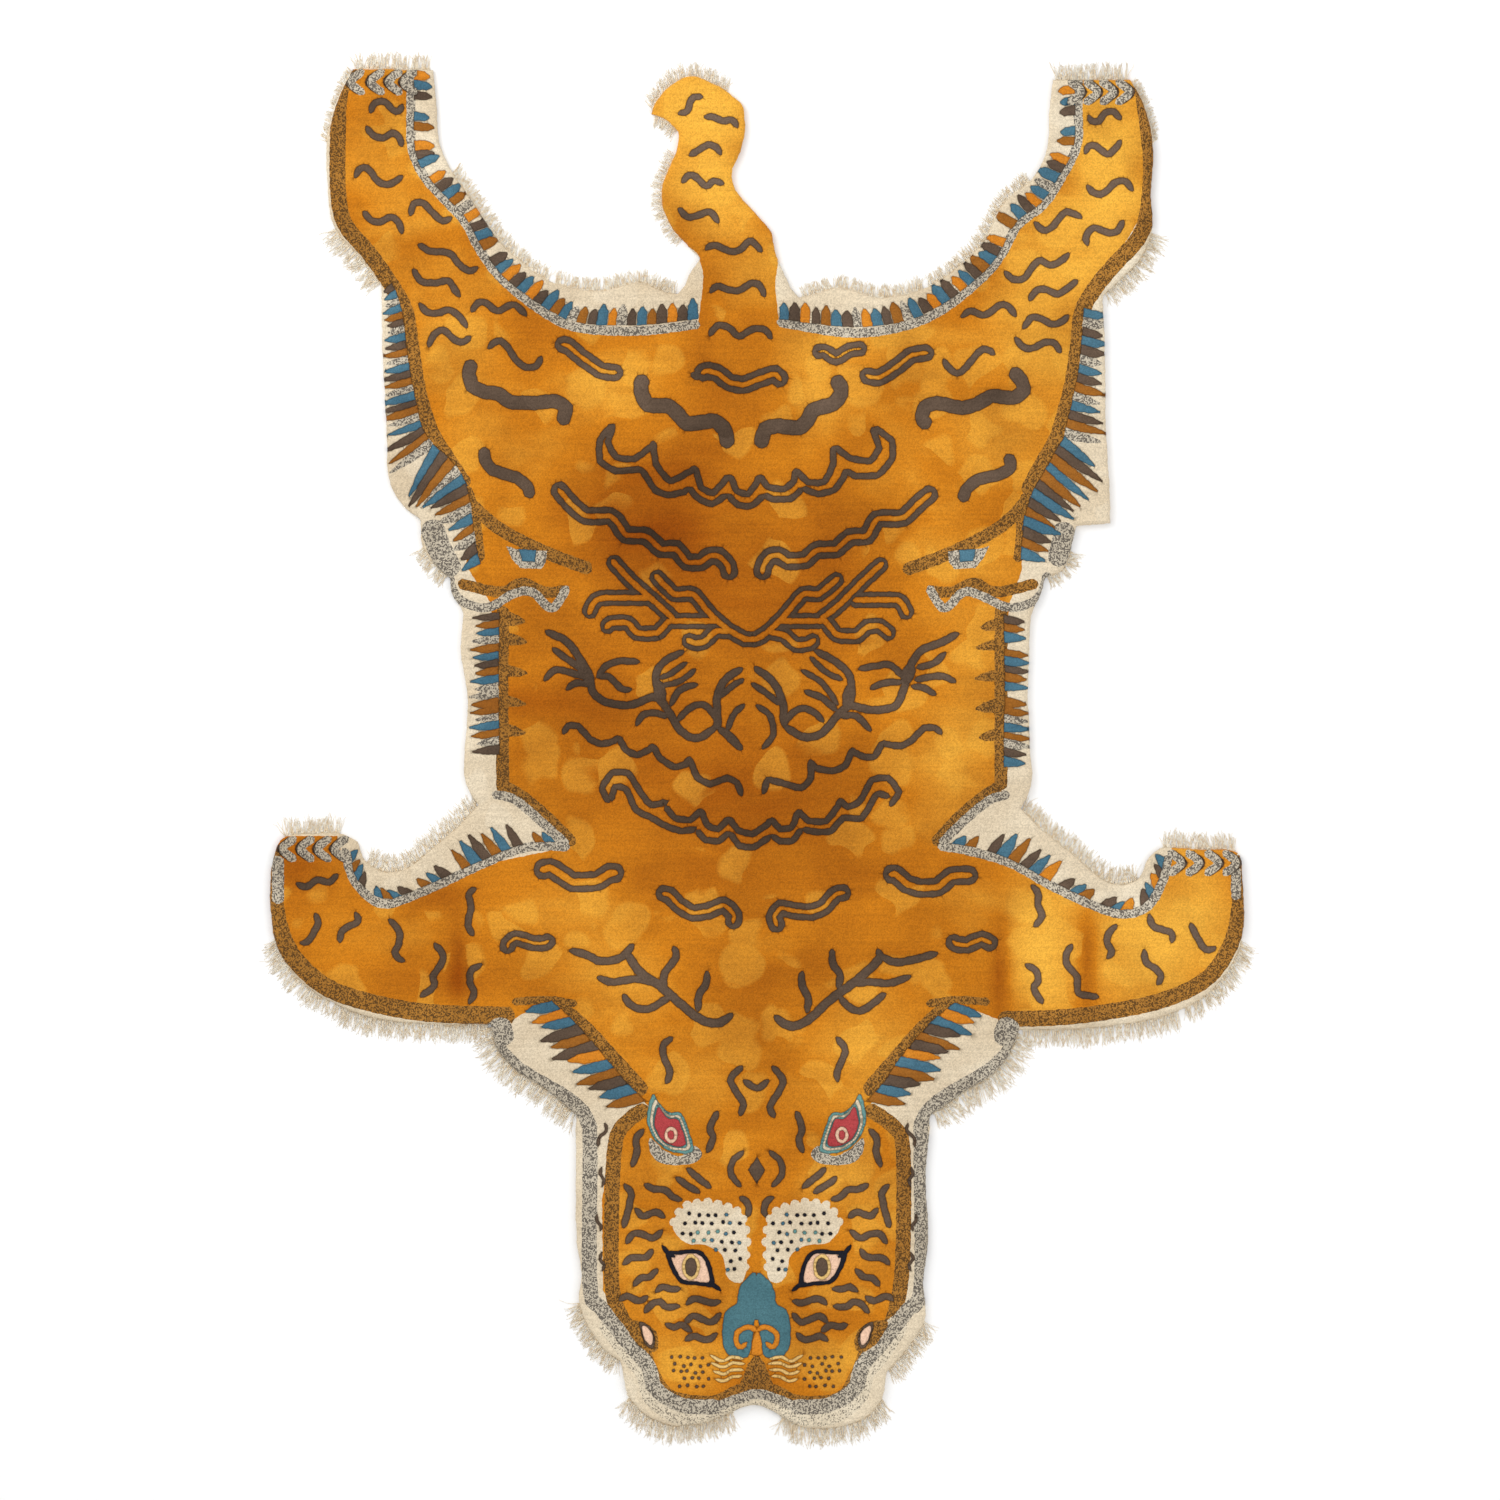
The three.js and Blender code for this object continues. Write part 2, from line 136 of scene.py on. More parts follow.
# The runs of fringe: how far each reaches, and its lean, from 0 square to the edge to 1 along the warp.
FRINGES = {
    "rump": (20, 0.5),
    "thigh": (19, 0.3),
    "hind_paw": (25, 0.8),
    "hind_side": (12, 0.3),
    "heel": (27, 0.1),
    "mouth": (21, 0.1),
    "forearm": (26, 0.5),
    "front_paw": (25, 0.8),
    "elbow": (26, 0.3),
    "arm": (28, 0.6),
    "neck": (32, 0.2),
    "jowl": (25, 0.3),
    "muzzle": (29, 0.6),
    "bow": (17, 0.0),
    "hook": (19, 0.2),
    "tip": (20, 0.4),
}


def on_cloth(points):
    """Turns places in the photograph into metres on the floor."""
    places = np.asarray(points, float).reshape(-1, 2)
    return np.column_stack([(places[:, 0] - SPINE_PX) * PIXEL, (MIDDLE_PX - places[:, 1]) * PIXEL])


def smooth_line(points, step, closed=False, ease=1.0):
    """A curve through the points, sampled about once a step. Ease is 1 for soft bends, 0 for straight."""
    p = np.asarray(points, float)
    if closed:
        before, start, end, after = np.roll(p, 1, 0), p, np.roll(p, -1, 0), np.roll(p, -2, 0)
    else:
        start, end = p[:-1], p[1:]
        before = np.vstack([2 * p[:1] - p[1:2], p[:-2]])
        after = np.vstack([p[2:], 2 * p[-1:] - p[-2:-1]])
    samples = []
    for a, b, c, d in zip(before, start, end, after):
        count = max(1, round(np.linalg.norm(c - b) / step))
        t = (np.arange(count) / count)[:, None]
        way = c - b
        leave = ease * (c - a) / 2 + (1 - ease) * way
        arrive = ease * (d - b) / 2 + (1 - ease) * way
        second, third = 3 * way - 2 * leave - arrive, leave + arrive - 2 * way
        samples.append(b + t * leave + t**2 * second + t**3 * third)
    if not closed:
        samples.append(p[-1:])
    return np.vstack(samples)


def straight_line(points, step, closed=True):
    """The same points joined by straight stretches, as samples about one step apart."""
    p = np.asarray(points, float)
    ends = np.roll(p, -1, 0) if closed else p[1:]
    samples = []
    for b, c in zip(p, ends):
        count = max(1, round(np.linalg.norm(c - b) / step))
        samples.append(b + (c - b) * (np.arange(count) / count)[:, None])
    if not closed:
        samples.append(p[-1:])
    return np.vstack(samples)


def lengths_along(points):
    return np.concatenate([[0.0], np.cumsum(np.linalg.norm(np.diff(points, axis=0), axis=1))])


def at_length(at, walked, values):
    """The values of a line's points at a length along it."""
    return np.array([np.interp(at, walked, values[:, i]) for i in (0, 1)])


def sideways(points, closed=False):
    """The unit vector square to a line at each of its points, on its left."""
    if closed:
        along = np.roll(points, -1, 0) - np.roll(points, 1, 0)
    else:
        along = np.gradient(points, axis=0)
    along /= np.maximum(np.linalg.norm(along, axis=1, keepdims=True), 1e-12)
    return np.column_stack([-along[:, 1], along[:, 0]])


def ribbon(points, half_width, tip=1.0, ease=1.0, trim=0.0):
    """A closed shape along a line. Its ends narrow over tip times the half width, and trim shortens them."""
    line = smooth_line(on_cloth(points), BORDER_STEP, ease=ease)
    walked = lengths_along(line)
    if trim:
        at = np.linspace(trim * PIXEL, walked[-1] - trim * PIXEL, len(line))
        line = at_length(at, walked, line).T
        walked = lengths_along(line)
    half = half_width * PIXEL
    to_end = np.minimum(walked, walked[-1] - walked)
    share = np.clip(to_end / max(half * tip, 1e-9), 0, 1)
    width = half * (0.25 + 0.75 * np.sqrt(share * (2 - share)))
    across = sideways(line) * width[:, None]
    return np.vstack([line + across, (line - across)[::-1]])


def patch(points, soft=True):
    """A closed shape with the given corners, rounded or straight."""
    corners = on_cloth(points)
    return smooth_line(corners, BORDER_STEP, True) if soft else straight_line(corners, BORDER_STEP)


def dot(at, radius, height=None):
    """A small round or oval shape."""
    height = height or radius
    sides = max(6, round(2 * math.pi * radius * PIXEL / BORDER_STEP))
    turns = 2 * math.pi * np.arange(sides) / sides
    return on_cloth(np.column_stack([at[0] + radius * np.cos(turns), at[1] + height * np.sin(turns)]))


def mirrored(points, middle):
    """The same places on the other side of an upright line."""
    return [(2 * middle - x, y) for x, y in points]


# The finish of the wool
KNOT_SIZE = 1.7 * MM
KNOT_STRAY = 1.6 * MM  # how far knots leave their even places, and how quickly that changes
KNOT_STRAY_SCALE = 160.0
KNOT_RANDOMNESS = 0.75
HAIR_SCALE = 900.0
HAIR_RANGE = (0.3, 0.7)
# The lobes are painted light of the nap: paler rounded patches in the pile.
LOBE_SIZE = 60 * MM
LOBE_BEND = 50 * MM
LOBE_BEND_SCALE = 18.0
LOBE_RIM = (0.58, 0.47)  # where a lobe's edge begins and ends, as a share of its size
LOBE_CHOICE = (0.06, 0.10)
DYE_CLOUDS = 0.5
CLOUD_STRETCH = (5.0, 11.0, 1.0)
WEFT_STRETCH = (9.0, 260.0, 1.0)
WEFT_RANGE = (0.3, 0.7)
WEFT_SHADE = -0.12
# Painted shade of the nap: where it shows, and how much less of it there is where the wool is pale.
NAP_SHADE_RANGE = (0.28, 0.58)
NAP_SHADE_IN_PALE = 0.25
# Painted shade in the carved lines: the depths over which it grows, and how dark it gets.
CARVED_RANGE = (0.35, 1.0)
CARVED_SHADE = 0.30
WOOL_SHEEN = 0.06
WOOL_SPECULAR = 0.08
COTTON_CELL = 3.0 * MM
COTTON_SHEEN = 0.15
# The size of the blotches of painted shade among the fringe's strands.
STRAND_SHADE_SCALE = 14.0
RIB_TURN = 6.28  # one rib of the woven back in the wave texture's own units

# The yarns, from the ground to the small details. Colours are sRGB, 0 to 255, fitted to the photo.
# Each yarn's nap_shade is the colour of its painted nap shade.
PLAIN_WOOL = {
    # How strong the painted shade of the nap is.
    "nap": 0.35,
    # How strong the painted light of the nap's lobes is.
    "lobe": 0.25,
    "grain": 0.30,
    "fleck": (60, 45, 35),
    "fleck_share": 0.0,
    "fleck_mix": 0.8,
    # How strong the painted shade in the carved lines is.
    "groove_shade": 0.75,
    "bump": 0.55,
}
YARNS = {
    "cream": {"deep": (204, 180, 144), "pale": (244, 232, 208), "nap_shade": (182, 156, 120)},
    "saffron": {
        "deep": (150, 72, 2), "middle": (206, 126, 24), "pale": (246, 184, 68), "nap_shade": (132, 64, 2),
        "nap": 0.4, "lobe": 0.32,
    },
    "heather": {
        "deep": (146, 96, 36), "pale": (188, 132, 58), "nap_shade": (110, 72, 30),
        "fleck": (54, 40, 26), "fleck_share": 0.46, "fleck_mix": 0.75,
    },
    "pepper": {
        "deep": (174, 160, 138), "pale": (218, 208, 188), "nap_shade": (146, 132, 112),
        "fleck": (64, 58, 56), "fleck_share": 0.47, "fleck_mix": 0.8,
    },
    "ash": {
        "deep": (208, 190, 160), "pale": (238, 226, 202), "nap_shade": (178, 158, 128),
        "fleck": (78, 70, 64), "fleck_share": 0.2, "fleck_mix": 0.7,
    },
    "orange": {"deep": (196, 108, 14), "pale": (228, 150, 50), "nap_shade": (170, 88, 8)},
    "brown": {"deep": (132, 76, 22), "pale": (176, 114, 44), "nap_shade": (104, 60, 18)},
    "charcoal": {"deep": (66, 50, 36), "pale": (118, 98, 82), "nap_shade": (42, 32, 26), "nap": 0.45},
    "blue": {"deep": (46, 86, 108), "pale": (92, 134, 152), "nap_shade": (34, 66, 88)},
    "nose": {"deep": (58, 98, 108), "pale": (92, 134, 142), "nap_shade": (44, 78, 90)},
    "red": {"deep": (160, 48, 50), "pale": (196, 84, 86), "nap_shade": (130, 36, 40)},
    "pink": {"deep": (228, 180, 148), "pale": (248, 214, 186), "nap_shade": (206, 154, 124)},
    "teal": {"deep": (84, 134, 132), "pale": (126, 168, 162), "nap_shade": (64, 110, 112)},
    "straw": {"deep": (226, 178, 96), "pale": (246, 216, 150), "nap_shade": (210, 150, 70)},
    "navy": {"deep": (20, 20, 28), "pale": (40, 40, 50), "nap_shade": (12, 12, 18)},
}
YARN_ORDER = list(YARNS)
CRISP_YARNS = ("charcoal", "straw", "blue", "nose", "orange", "brown", "red", "pink", "teal", "navy")

# The field's edge, left and right, from the tail down to the chin.
FIELD_EDGE = (
    # left, right
    ((703, 262), (778, 262)),
    ((703, 285), (775, 285)),
    ((698, 325), (779, 322)),
    ((600, 331), (850, 333)),
    ((560, 322), (905, 326)),
    ((503, 280), (960, 297)),
    ((480, 250), (1003, 252)),
    ((455, 210), (1030, 215)),
    ((423, 175), (1060, 180)),
    ((411, 145), (1077, 145)),
    ((411, 66), (1078, 76)),
    ((344, 66), (1138, 76)),
    ((332, 120), (1146, 150)),
    ((331, 200), (1142, 215)),
    ((347, 235), (1125, 243)),
    ((378, 262), (1095, 275)),
    ((396, 292), (1078, 305)),
    ((404, 340), (1072, 345)),
    ((413, 400), (1063, 405)),
    ((433, 447), (1045, 450)),
    ((463, 480), (1025, 480)),
    ((470, 515), (1020, 520)),
    ((466, 566), (1022, 570)),
    ((490, 602), (1010, 602)),
    ((497, 640), (1005, 640)),
    ((497, 775), (1005, 780)),
    ((520, 800), (985, 800)),
    ((568, 847), (940, 845)),
    ((500, 861), (1000, 861)),
    ((420, 897), (1090, 907)),
    ((385, 907), (1130, 916)),
    ((360, 893), (1158, 895)),
    ((345, 868), (1168, 868)),
    ((337, 836), (1172, 846)),
    ((275, 836), (1237, 848)),
    ((275, 905), (1238, 915)),
    ((290, 962), (1228, 955)),
    ((340, 997), (1160, 1002)),
    ((420, 1014), (1090, 1017)),
    ((512, 1020), (1000, 1020)),
    ((548, 1000), (955, 1003)),
    ((573, 1030), (930, 1032)),
    ((605, 1058), (905, 1060)),
    ((650, 1108), (868, 1108)),
    ((612, 1132), (897, 1132)),
    ((602, 1200), (908, 1200)),
    ((603, 1290), (905, 1290)),
    ((628, 1338), (880, 1343)),
    ((650, 1375), (860, 1377)),
    ((690, 1403), (830, 1403)),
    ((735, 1392), (775, 1390)),
)


# Where the wool is paler or deeper, partly by its dye and partly by painted shade along the creases and
# painted light and shade of the nap: place, reach across and along, and amount, paler above 0.
DYE_AND_SHADE = (
    ((700, 100), 60, 50, 0.9),
    ((710, 190), 50, 60, 0.7),
    ((740, 280), 45, 40, 0.3),
    ((700, 320), 26, 50, -0.5),
    ((752, 330), 22, 34, -0.4),
    ((385, 160), 45, 90, 0.2),
    ((425, 250), 45, 50, 0.15),
    ((1110, 160), 40, 90, 0.9),
    ((1070, 270), 60, 70, 0.6),
    ((455, 340), 45, 45, 0.25),
    ((608, 382), 38, 34, 0.4),
    ((530, 350), 40, 40, -0.2),
    ((480, 425), 30, 24, 0.3),
    ((535, 455), 34, 26, 0.3),
    ((450, 470), 24, 20, 0.3),
    ((640, 530), 80, 60, -0.8),
    ((755, 600), 110, 70, -0.55),
    ((830, 540), 60, 50, -0.25),
    ((690, 460), 70, 60, -0.4),
    ((820, 345), 60, 24, 0.3),
    ((815, 400), 24, 34, 0.45),
    ((890, 330), 40, 26, 0.25),
    ((960, 350), 50, 40, 0.2),
    ((1010, 300), 40, 40, 0.3),
    ((1045, 360), 40, 30, 0.45),
    ((900, 470), 40, 40, 0.15),
    ((1000, 430), 50, 40, 0.3),
    ((960, 560), 60, 30, 0.1),
    ((520, 560), 50, 30, -0.1),
    ((560, 640), 60, 40, -0.1),
    ((520, 700), 70, 26, -0.7),
    ((620, 720), 70, 50, -0.5),
    ((600, 800), 60, 40, -0.1),
    ((540, 790), 40, 30, 0.2),
    ((750, 790), 120, 60, -0.75),
    ((880, 700), 50, 50, 0.05),
    ((975, 690), 40, 70, 0.35),
    ((930, 780), 60, 50, 0.3),
    ((900, 830), 60, 30, 0.1),
    ((750, 880), 260, 24, -0.3),
    ((550, 895), 60, 30, 0.3),
    ((755, 970), 90, 60, -0.4),
    ((620, 985), 60, 40, 0.4),
    ((770, 945), 40, 24, 0.3),
    ((880, 985), 70, 40, 0.15),
    ((700, 1060), 50, 40, 0.1),
    ((865, 1060), 40, 40, 0.35),
    ((800, 1040), 40, 30, 0.2),
    ((330, 900), 60, 40, -0.1),
    ((296, 875), 30, 40, -0.6),
    ((430, 985), 90, 20, -0.5),
    ((430, 895), 50, 18, -0.5),
    ((458, 960), 10, 44, -0.7),
    ((520, 960), 40, 40, 0.1),
    ((1000, 970), 9, 50, -0.8),
    ((1040, 950), 30, 60, 0.9),
    ((1087, 965), 9, 46, -0.9),
    ((1150, 945), 55, 60, 0.9),
    ((1205, 900), 30, 40, 0.5),
    ((990, 890), 60, 30, 0.2),
    ((640, 1210), 34, 60, 0.1),
    ((880, 1230), 30, 80, 0.2),
    ((757, 1140), 70, 30, -0.05),
    ((820, 1185), 30, 20, 0.4),
    ((690, 1170), 30, 20, 0.1),
    ((650, 1290), 30, 30, 0.2),
    ((700, 1360), 50, 24, 0.35),
    ((820, 1360), 50, 24, 0.45),
    ((757, 1380), 40, 14, -0.5),
    ((757, 1180), 60, 30, -0.1),
)

# The tail, to just past its edges.
TAIL = (
    (716, 292), (702, 268), (697, 253), (680, 242), (666, 226), (656, 205), (655, 190), (660, 172),
    (672, 152), (674, 133), (662, 124), (640, 116), (648, 92), (668, 74), (695, 66), (718, 74),
    (742, 90), (755, 105), (757, 128), (749, 150), (741, 172), (747, 187), (757, 199), (769, 214),
    (778, 236), (777, 266), (764, 292),
)

# The bands that follow the edge. Each is a line of one yarn.
BANDS = (
    # yarn, half width, places
    ("heather", 8, ((350, 66), (340, 95), (338, 130), (338, 190), (345, 224), (368, 252), (388, 280),
        (405, 310), (411, 345), (417, 385), (424, 412), (433, 436), (449, 461), (467, 488))),
    ("heather", 8, ((1140, 74), (1148, 130), (1151, 170), (1147, 215), (1137, 240), (1115, 264),
        (1096, 287), (1082, 312), (1078, 345), (1073, 380), (1065, 412), (1056, 440), (1040, 468),
        (1026, 495))),
    ("heather", 5.5, ((466, 486), (473, 510), (477, 535), (480, 562))),
    ("heather", 5.5, ((1027, 493), (1022, 515), (1021, 540), (1018, 562))),
    ("heather", 6.5, ((466, 500), (500, 529), (545, 552), (592, 570))),
    ("heather", 6.5, ((1030, 498), (1000, 527), (955, 551), (903, 571))),
    ("heather", 5.5, ((458, 583), (500, 592), (522, 583), (545, 592), (569, 590))),
    ("heather", 5.5, ((1038, 583), (996, 592), (974, 583), (951, 592), (927, 590))),
    ("heather", 6.5, ((503, 606), (502, 660), (502, 720), (503, 794))),
    ("heather", 6.5, ((1001, 606), (1001, 660), (1001, 720), (1001, 790))),
    ("heather", 6.5, ((503, 786), (522, 797), (546, 817), (574, 845))),
    ("heather", 6.5, ((1001, 786), (984, 797), (960, 817), (934, 845))),
    ("heather", 9, ((272, 850), (275, 905), (283, 938), (298, 963), (328, 988), (372, 1003), (430, 1013),
        (515, 1016))),
    ("heather", 8, ((1240, 855), (1239, 910), (1229, 948), (1205, 980), (1160, 1001), (1100, 1013),
        (1050, 1018), (998, 1019))),
    ("heather", 4, ((512, 1002), (545, 1000), (577, 1004))),
    ("heather", 4, ((990, 1002), (957, 1000), (926, 1004))),
    ("heather", 7.5, ((648, 1107), (629, 1120), (616, 1140), (612, 1200), (612, 1285), (621, 1316),
        (641, 1346), (651, 1372), (670, 1397), (712, 1403), (736, 1393), (755, 1388), (774, 1392),
        (800, 1403), (840, 1399), (858, 1374), (868, 1350), (886, 1334), (898, 1300), (903, 1250),
        (903, 1150), (894, 1127), (866, 1107))),
    ("pepper", 4.6, ((411, 66), (411, 110), (412, 148), (424, 176), (445, 200), (465, 222), (480, 250),
        (503, 280), (545, 313), (580, 328), (640, 331), (700, 324))),
    ("pepper", 4.6, ((1078, 76), (1078, 110), (1077, 145), (1060, 180), (1043, 205), (1018, 225),
        (1003, 252), (985, 275), (945, 308), (905, 326), (850, 333), (777, 322))),
    ("pepper", 4.6, ((570, 847), (545, 846), (520, 849), (480, 865), (440, 884), (402, 900), (385, 904),
        (370, 898), (353, 878), (344, 848))),
    ("pepper", 4.6, ((938, 846), (965, 850), (1010, 863), (1050, 885), (1090, 904), (1122, 914),
        (1148, 906), (1163, 880), (1168, 855))),
    ("pepper", 4.6, ((568, 846), (545, 825), (515, 800), (492, 794))),
    ("pepper", 4.6, ((940, 845), (965, 820), (990, 800), (1010, 794))),
    ("pepper", 6, ((278, 856), (278, 904))),
    ("pepper", 5, ((1236, 866), (1236, 900))),
    ("pepper", 12, ((430, 520), (438, 545), (454, 576))),
    ("pepper", 11, ((1065, 522), (1062, 545), (1056, 566))),
    ("pepper", 4.5, ((448, 572), (455, 594), (470, 605), (490, 607), (513, 594), (532, 592), (552, 608),
        (568, 586))),
    ("pepper", 4.5, ((1048, 572), (1041, 594), (1026, 605), (1006, 607), (984, 597), (964, 592),
        (944, 608), (928, 586))),
    ("heather", 8, ((548, 999), (582, 1026), (612, 1058), (645, 1094))),
    ("heather", 8, ((958, 999), (926, 1026), (897, 1058), (866, 1094))),
    ("ash", 11, ((604, 1318), (630, 1352), (646, 1372), (654, 1396), (680, 1414), (712, 1414),
        (736, 1407), (757, 1401), (778, 1407), (800, 1414), (830, 1414), (856, 1396), (864, 1372),
        (880, 1352), (902, 1318))),
    ("pepper", 7.5, ((496, 1046), (520, 1070), (568, 1099), (587, 1120), (590, 1150), (590, 1285),
        (602, 1309), (630, 1345), (648, 1366), (655, 1388), (682, 1405), (722, 1407))),
    ("pepper", 7.5, ((1014, 1046), (990, 1070), (942, 1099), (923, 1120), (921, 1150), (921, 1285),
        (906, 1312), (879, 1346), (862, 1366), (855, 1388), (828, 1405), (790, 1407))),
    ("pepper", 5, ((714, 1408), (735, 1400), (757, 1394), (779, 1400), (798, 1408))),
    ("pepper", 12, ((497, 1018), (505, 1046))),
    ("pepper", 12, ((1010, 1018), (1003, 1046))),
)

# Rows of pointed tufts: the line of their feet, how far they reach to its left at even places along it,
# how far their tips lean along it, their form, and a letter for the yarn of each tuft, with a dot for a gap.
TUFT_YARNS = {"o": "orange", "b": "blue", "c": "charcoal", "n": "brown", "p": "pepper", "h": "heather"}
TUFT_FORMS = {
    # width of the foot, how far up the shoulder is, width there
    "picket": (0.98, 0.66, 0.92),
    "spike": (1.35, 0.6, 0.92),
    "leaf": (1.05, 0.5, 0.85),
    "flame": (1.2, 0.62, 1.1),
}
FOOT_OUTSIDE = {"picket": 4, "leaf": 4, "spike": 0, "flame": 0}  # from the band under a row to its feet
TUFT_TIP = 0.10  # half the tip's width, as a share of the tuft's
TUFT_ROOT = 0.06  # how far the root goes back, as a share of the reach
TUFT_PLACE = (-0.08, 0.08)  # how unevenly the tufts are spread, as shares of their pitch, reach and pitch
TUFT_REACH = (0.82, 1.14)
TUFT_WIDTH = (0.86, 1.12)
TUFT_ROWS = (
    ("left hind leg and rump", ((411, 70), (412, 148), (424, 176), (445, 200), (465, 222), (480, 250),
        (503, 280), (545, 311), (580, 326), (640, 328), (698, 322)), (19, 20, 22, 20, 20, 20, 20), 2,
        "picket", "obc.bn.ocb.ocbnpocbn.cbocbocbnbpncbopcbncocb"),
    ("right hind leg and rump", ((1078, 84), (1077, 145), (1060, 180), (1043, 205), (1018, 225),
        (1003, 252), (985, 275), (945, 306), (905, 324), (850, 330), (779, 322)), (-19, -20, -22, -20,
        -20, -20, -20), 2, "picket", "obc.bn.ocbpbocbn.ocbncbocbocbpncbopcbncocb"),
    ("left flank", ((392, 284), (398, 300), (402, 318), (405, 345), (409, 375), (414, 402), (421, 430),
        (432, 448)), (-11, -18, -22, -28, -36, -46), 1, "spike", "cbpbncpbcnpbcnpbcnpbcnp"),
    ("left belly", ((432, 448), (446, 460), (460, 477), (467, 497), (471, 520), (475, 545), (479, 563)),
        (-44, -56, -58, -36, -25, -20, -17), 8, "spike", "bcnpbcnpbnpcb"),
    ("right flank", ((1085, 310), (1083, 340), (1080, 370), (1073, 405), (1066, 438)), (21, 24, 29, 38),
        1, "spike", "bpcbcpbcnpbcnp"),
    ("right belly", ((1066, 438), (1052, 464), (1037, 489), (1027, 515), (1024, 536), (1022, 558)), (38,
        50, 56, 42, 34, 30, 22), 6, "spike", "bcnbncbcnbcnb"),
    ("left waist", ((498, 613), (497, 680), (498, 753)), (-26, -26), 2, "spike", "cnbpnbcnbppnnpbnpc"),
    ("right waist", ((1005, 616), (1006, 690), (1005, 765)), (23, 23), 2, "spike", "cnb.nbcnb.nnpbnpcb"),
    ("left waist spikes", ((508, 614), (508, 746)), (17, 19, 17), 3, "spike", "h.h..h..h..h."),
    ("right waist spikes", ((995, 620), (995, 750)), (-17, -19, -17), 3, "spike", "h.h..h..h..h."),
    ("left front leg", ((556, 845), (520, 848), (480, 864), (440, 883), (402, 899), (385, 902),
        (370, 896), (352, 877), (347, 852)), (-10, -15, -30, -26, -20, -14, -12, -12, -13, -12, -10), 6,
        "leaf", "bn.cbncbn.cbn.cbnb.cbnb"),
    ("right front leg", ((952, 847), (980, 852), (1010, 862), (1050, 884), (1090, 903), (1122, 913),
        (1147, 905), (1162, 880), (1168, 858)), (10, 15, 30, 26, 20, 14, 12, 12, 13, 12, 10), 6, "leaf",
        "bn.cbncbo.cbn.cbo.cbocb"),
    ("left neck", ((552, 1003), (574, 1024), (600, 1054), (622, 1080), (644, 1102)), (-28, -36, -30), -18,
        "flame", "bobcncobncbn"),
    ("right neck", ((955, 1004), (930, 1026), (905, 1055), (886, 1082), (868, 1102)), (28, 36, 30), -18,
        "flame", "bobcncobncbn"),
)

# The claws: the outermost place of each, and to which side it bulges.
CLAWS = (
    (347, 82, -1), (367, 82, -1), (385, 82, -1), (400, 82, -1),
    (1085, 92, 1), (1101, 92, 1), (1117, 92, 1), (1133, 92, 1),
    (279, 849, -1), (297, 849, -1), (314, 849, -1), (331, 849, -1),
    (1185, 863, 1), (1203, 863, 1), (1222, 863, 1), (1240, 863, 1),
)
CLAW_HEIGHT = 24
CLAW_BOW = 13
CLAW_LINE_HALF_WIDTH = 2.2
CLAW_HALF_WIDTH = 4.2
CLAW_INSET = 4  # from the dark line to the pepper wool


def claw(x, y, side):
    """A crescent of pepper wool with a dark line round its outside."""
    half = CLAW_HEIGHT / 2
    bow = ((x - side * CLAW_BOW, y - half), (x, y), (x - side * CLAW_BOW, y + half))
    inner = [(place[0] - side * CLAW_INSET, place[1]) for place in bow]
    return [("charcoal", ribbon(bow, CLAW_LINE_HALF_WIDTH)), ("pepper", ribbon(inner, CLAW_HALF_WIDTH))]


def tuft(foot, along, across, width, reach, lean, form):
    """One pointed tuft. Its form gives the width of its foot, how far up its shoulder is, and that width."""
    foot_width, shoulder, shoulder_width = (width * form[0] / 2, form[1], width * form[2] / 2)
    tip = foot + across * reach + along * lean
    body = foot + across * (reach * shoulder) + along * (lean * shoulder)
    root = foot - across * (reach * TUFT_ROOT)
    return np.array([
        root - along * foot_width,
        body - along * shoulder_width,
        tip - along * width * TUFT_TIP,
        tip + along * width * TUFT_TIP,
        body + along * shoulder_width,
        root + along * foot_width,
    ])


def tufts():
    """All the rows of tufts, each a little uneven."""
    chance = random.Random(SEED)
    shapes = []
    for _, feet, reaches, lean, form, yarns in TUFT_ROWS:
        line = smooth_line(on_cloth(feet), BORDER_STEP)
        walked = lengths_along(line)
        across = sideways(line)
        pitch = walked[-1] / len(yarns)
        for number, letter in enumerate(yarns):
            if letter == ".":
                continue
            at = pitch * (number + 0.5 + chance.uniform(*TUFT_PLACE))
            foot = at_length(at, walked, line)
            square = at_length(at, walked, across)
            square /= np.linalg.norm(square)
            along = np.array([square[1], -square[0]])
            share = at / walked[-1] * (len(reaches) - 1)
            reach = np.interp(share, range(len(reaches)), reaches) * PIXEL * chance.uniform(*TUFT_REACH)
            width = pitch * chance.uniform(*TUFT_WIDTH)
            start = FOOT_OUTSIDE[form] * PIXEL
            foot += square * math.copysign(start, reach)
            reach -= math.copysign(start / 2, reach)
            shape = tuft(foot, along, square, width, reach, lean * PIXEL, TUFT_FORMS[form])
            shapes.append((TUFT_YARNS[letter], straight_line(shape, BORDER_STEP)))
    return shapes


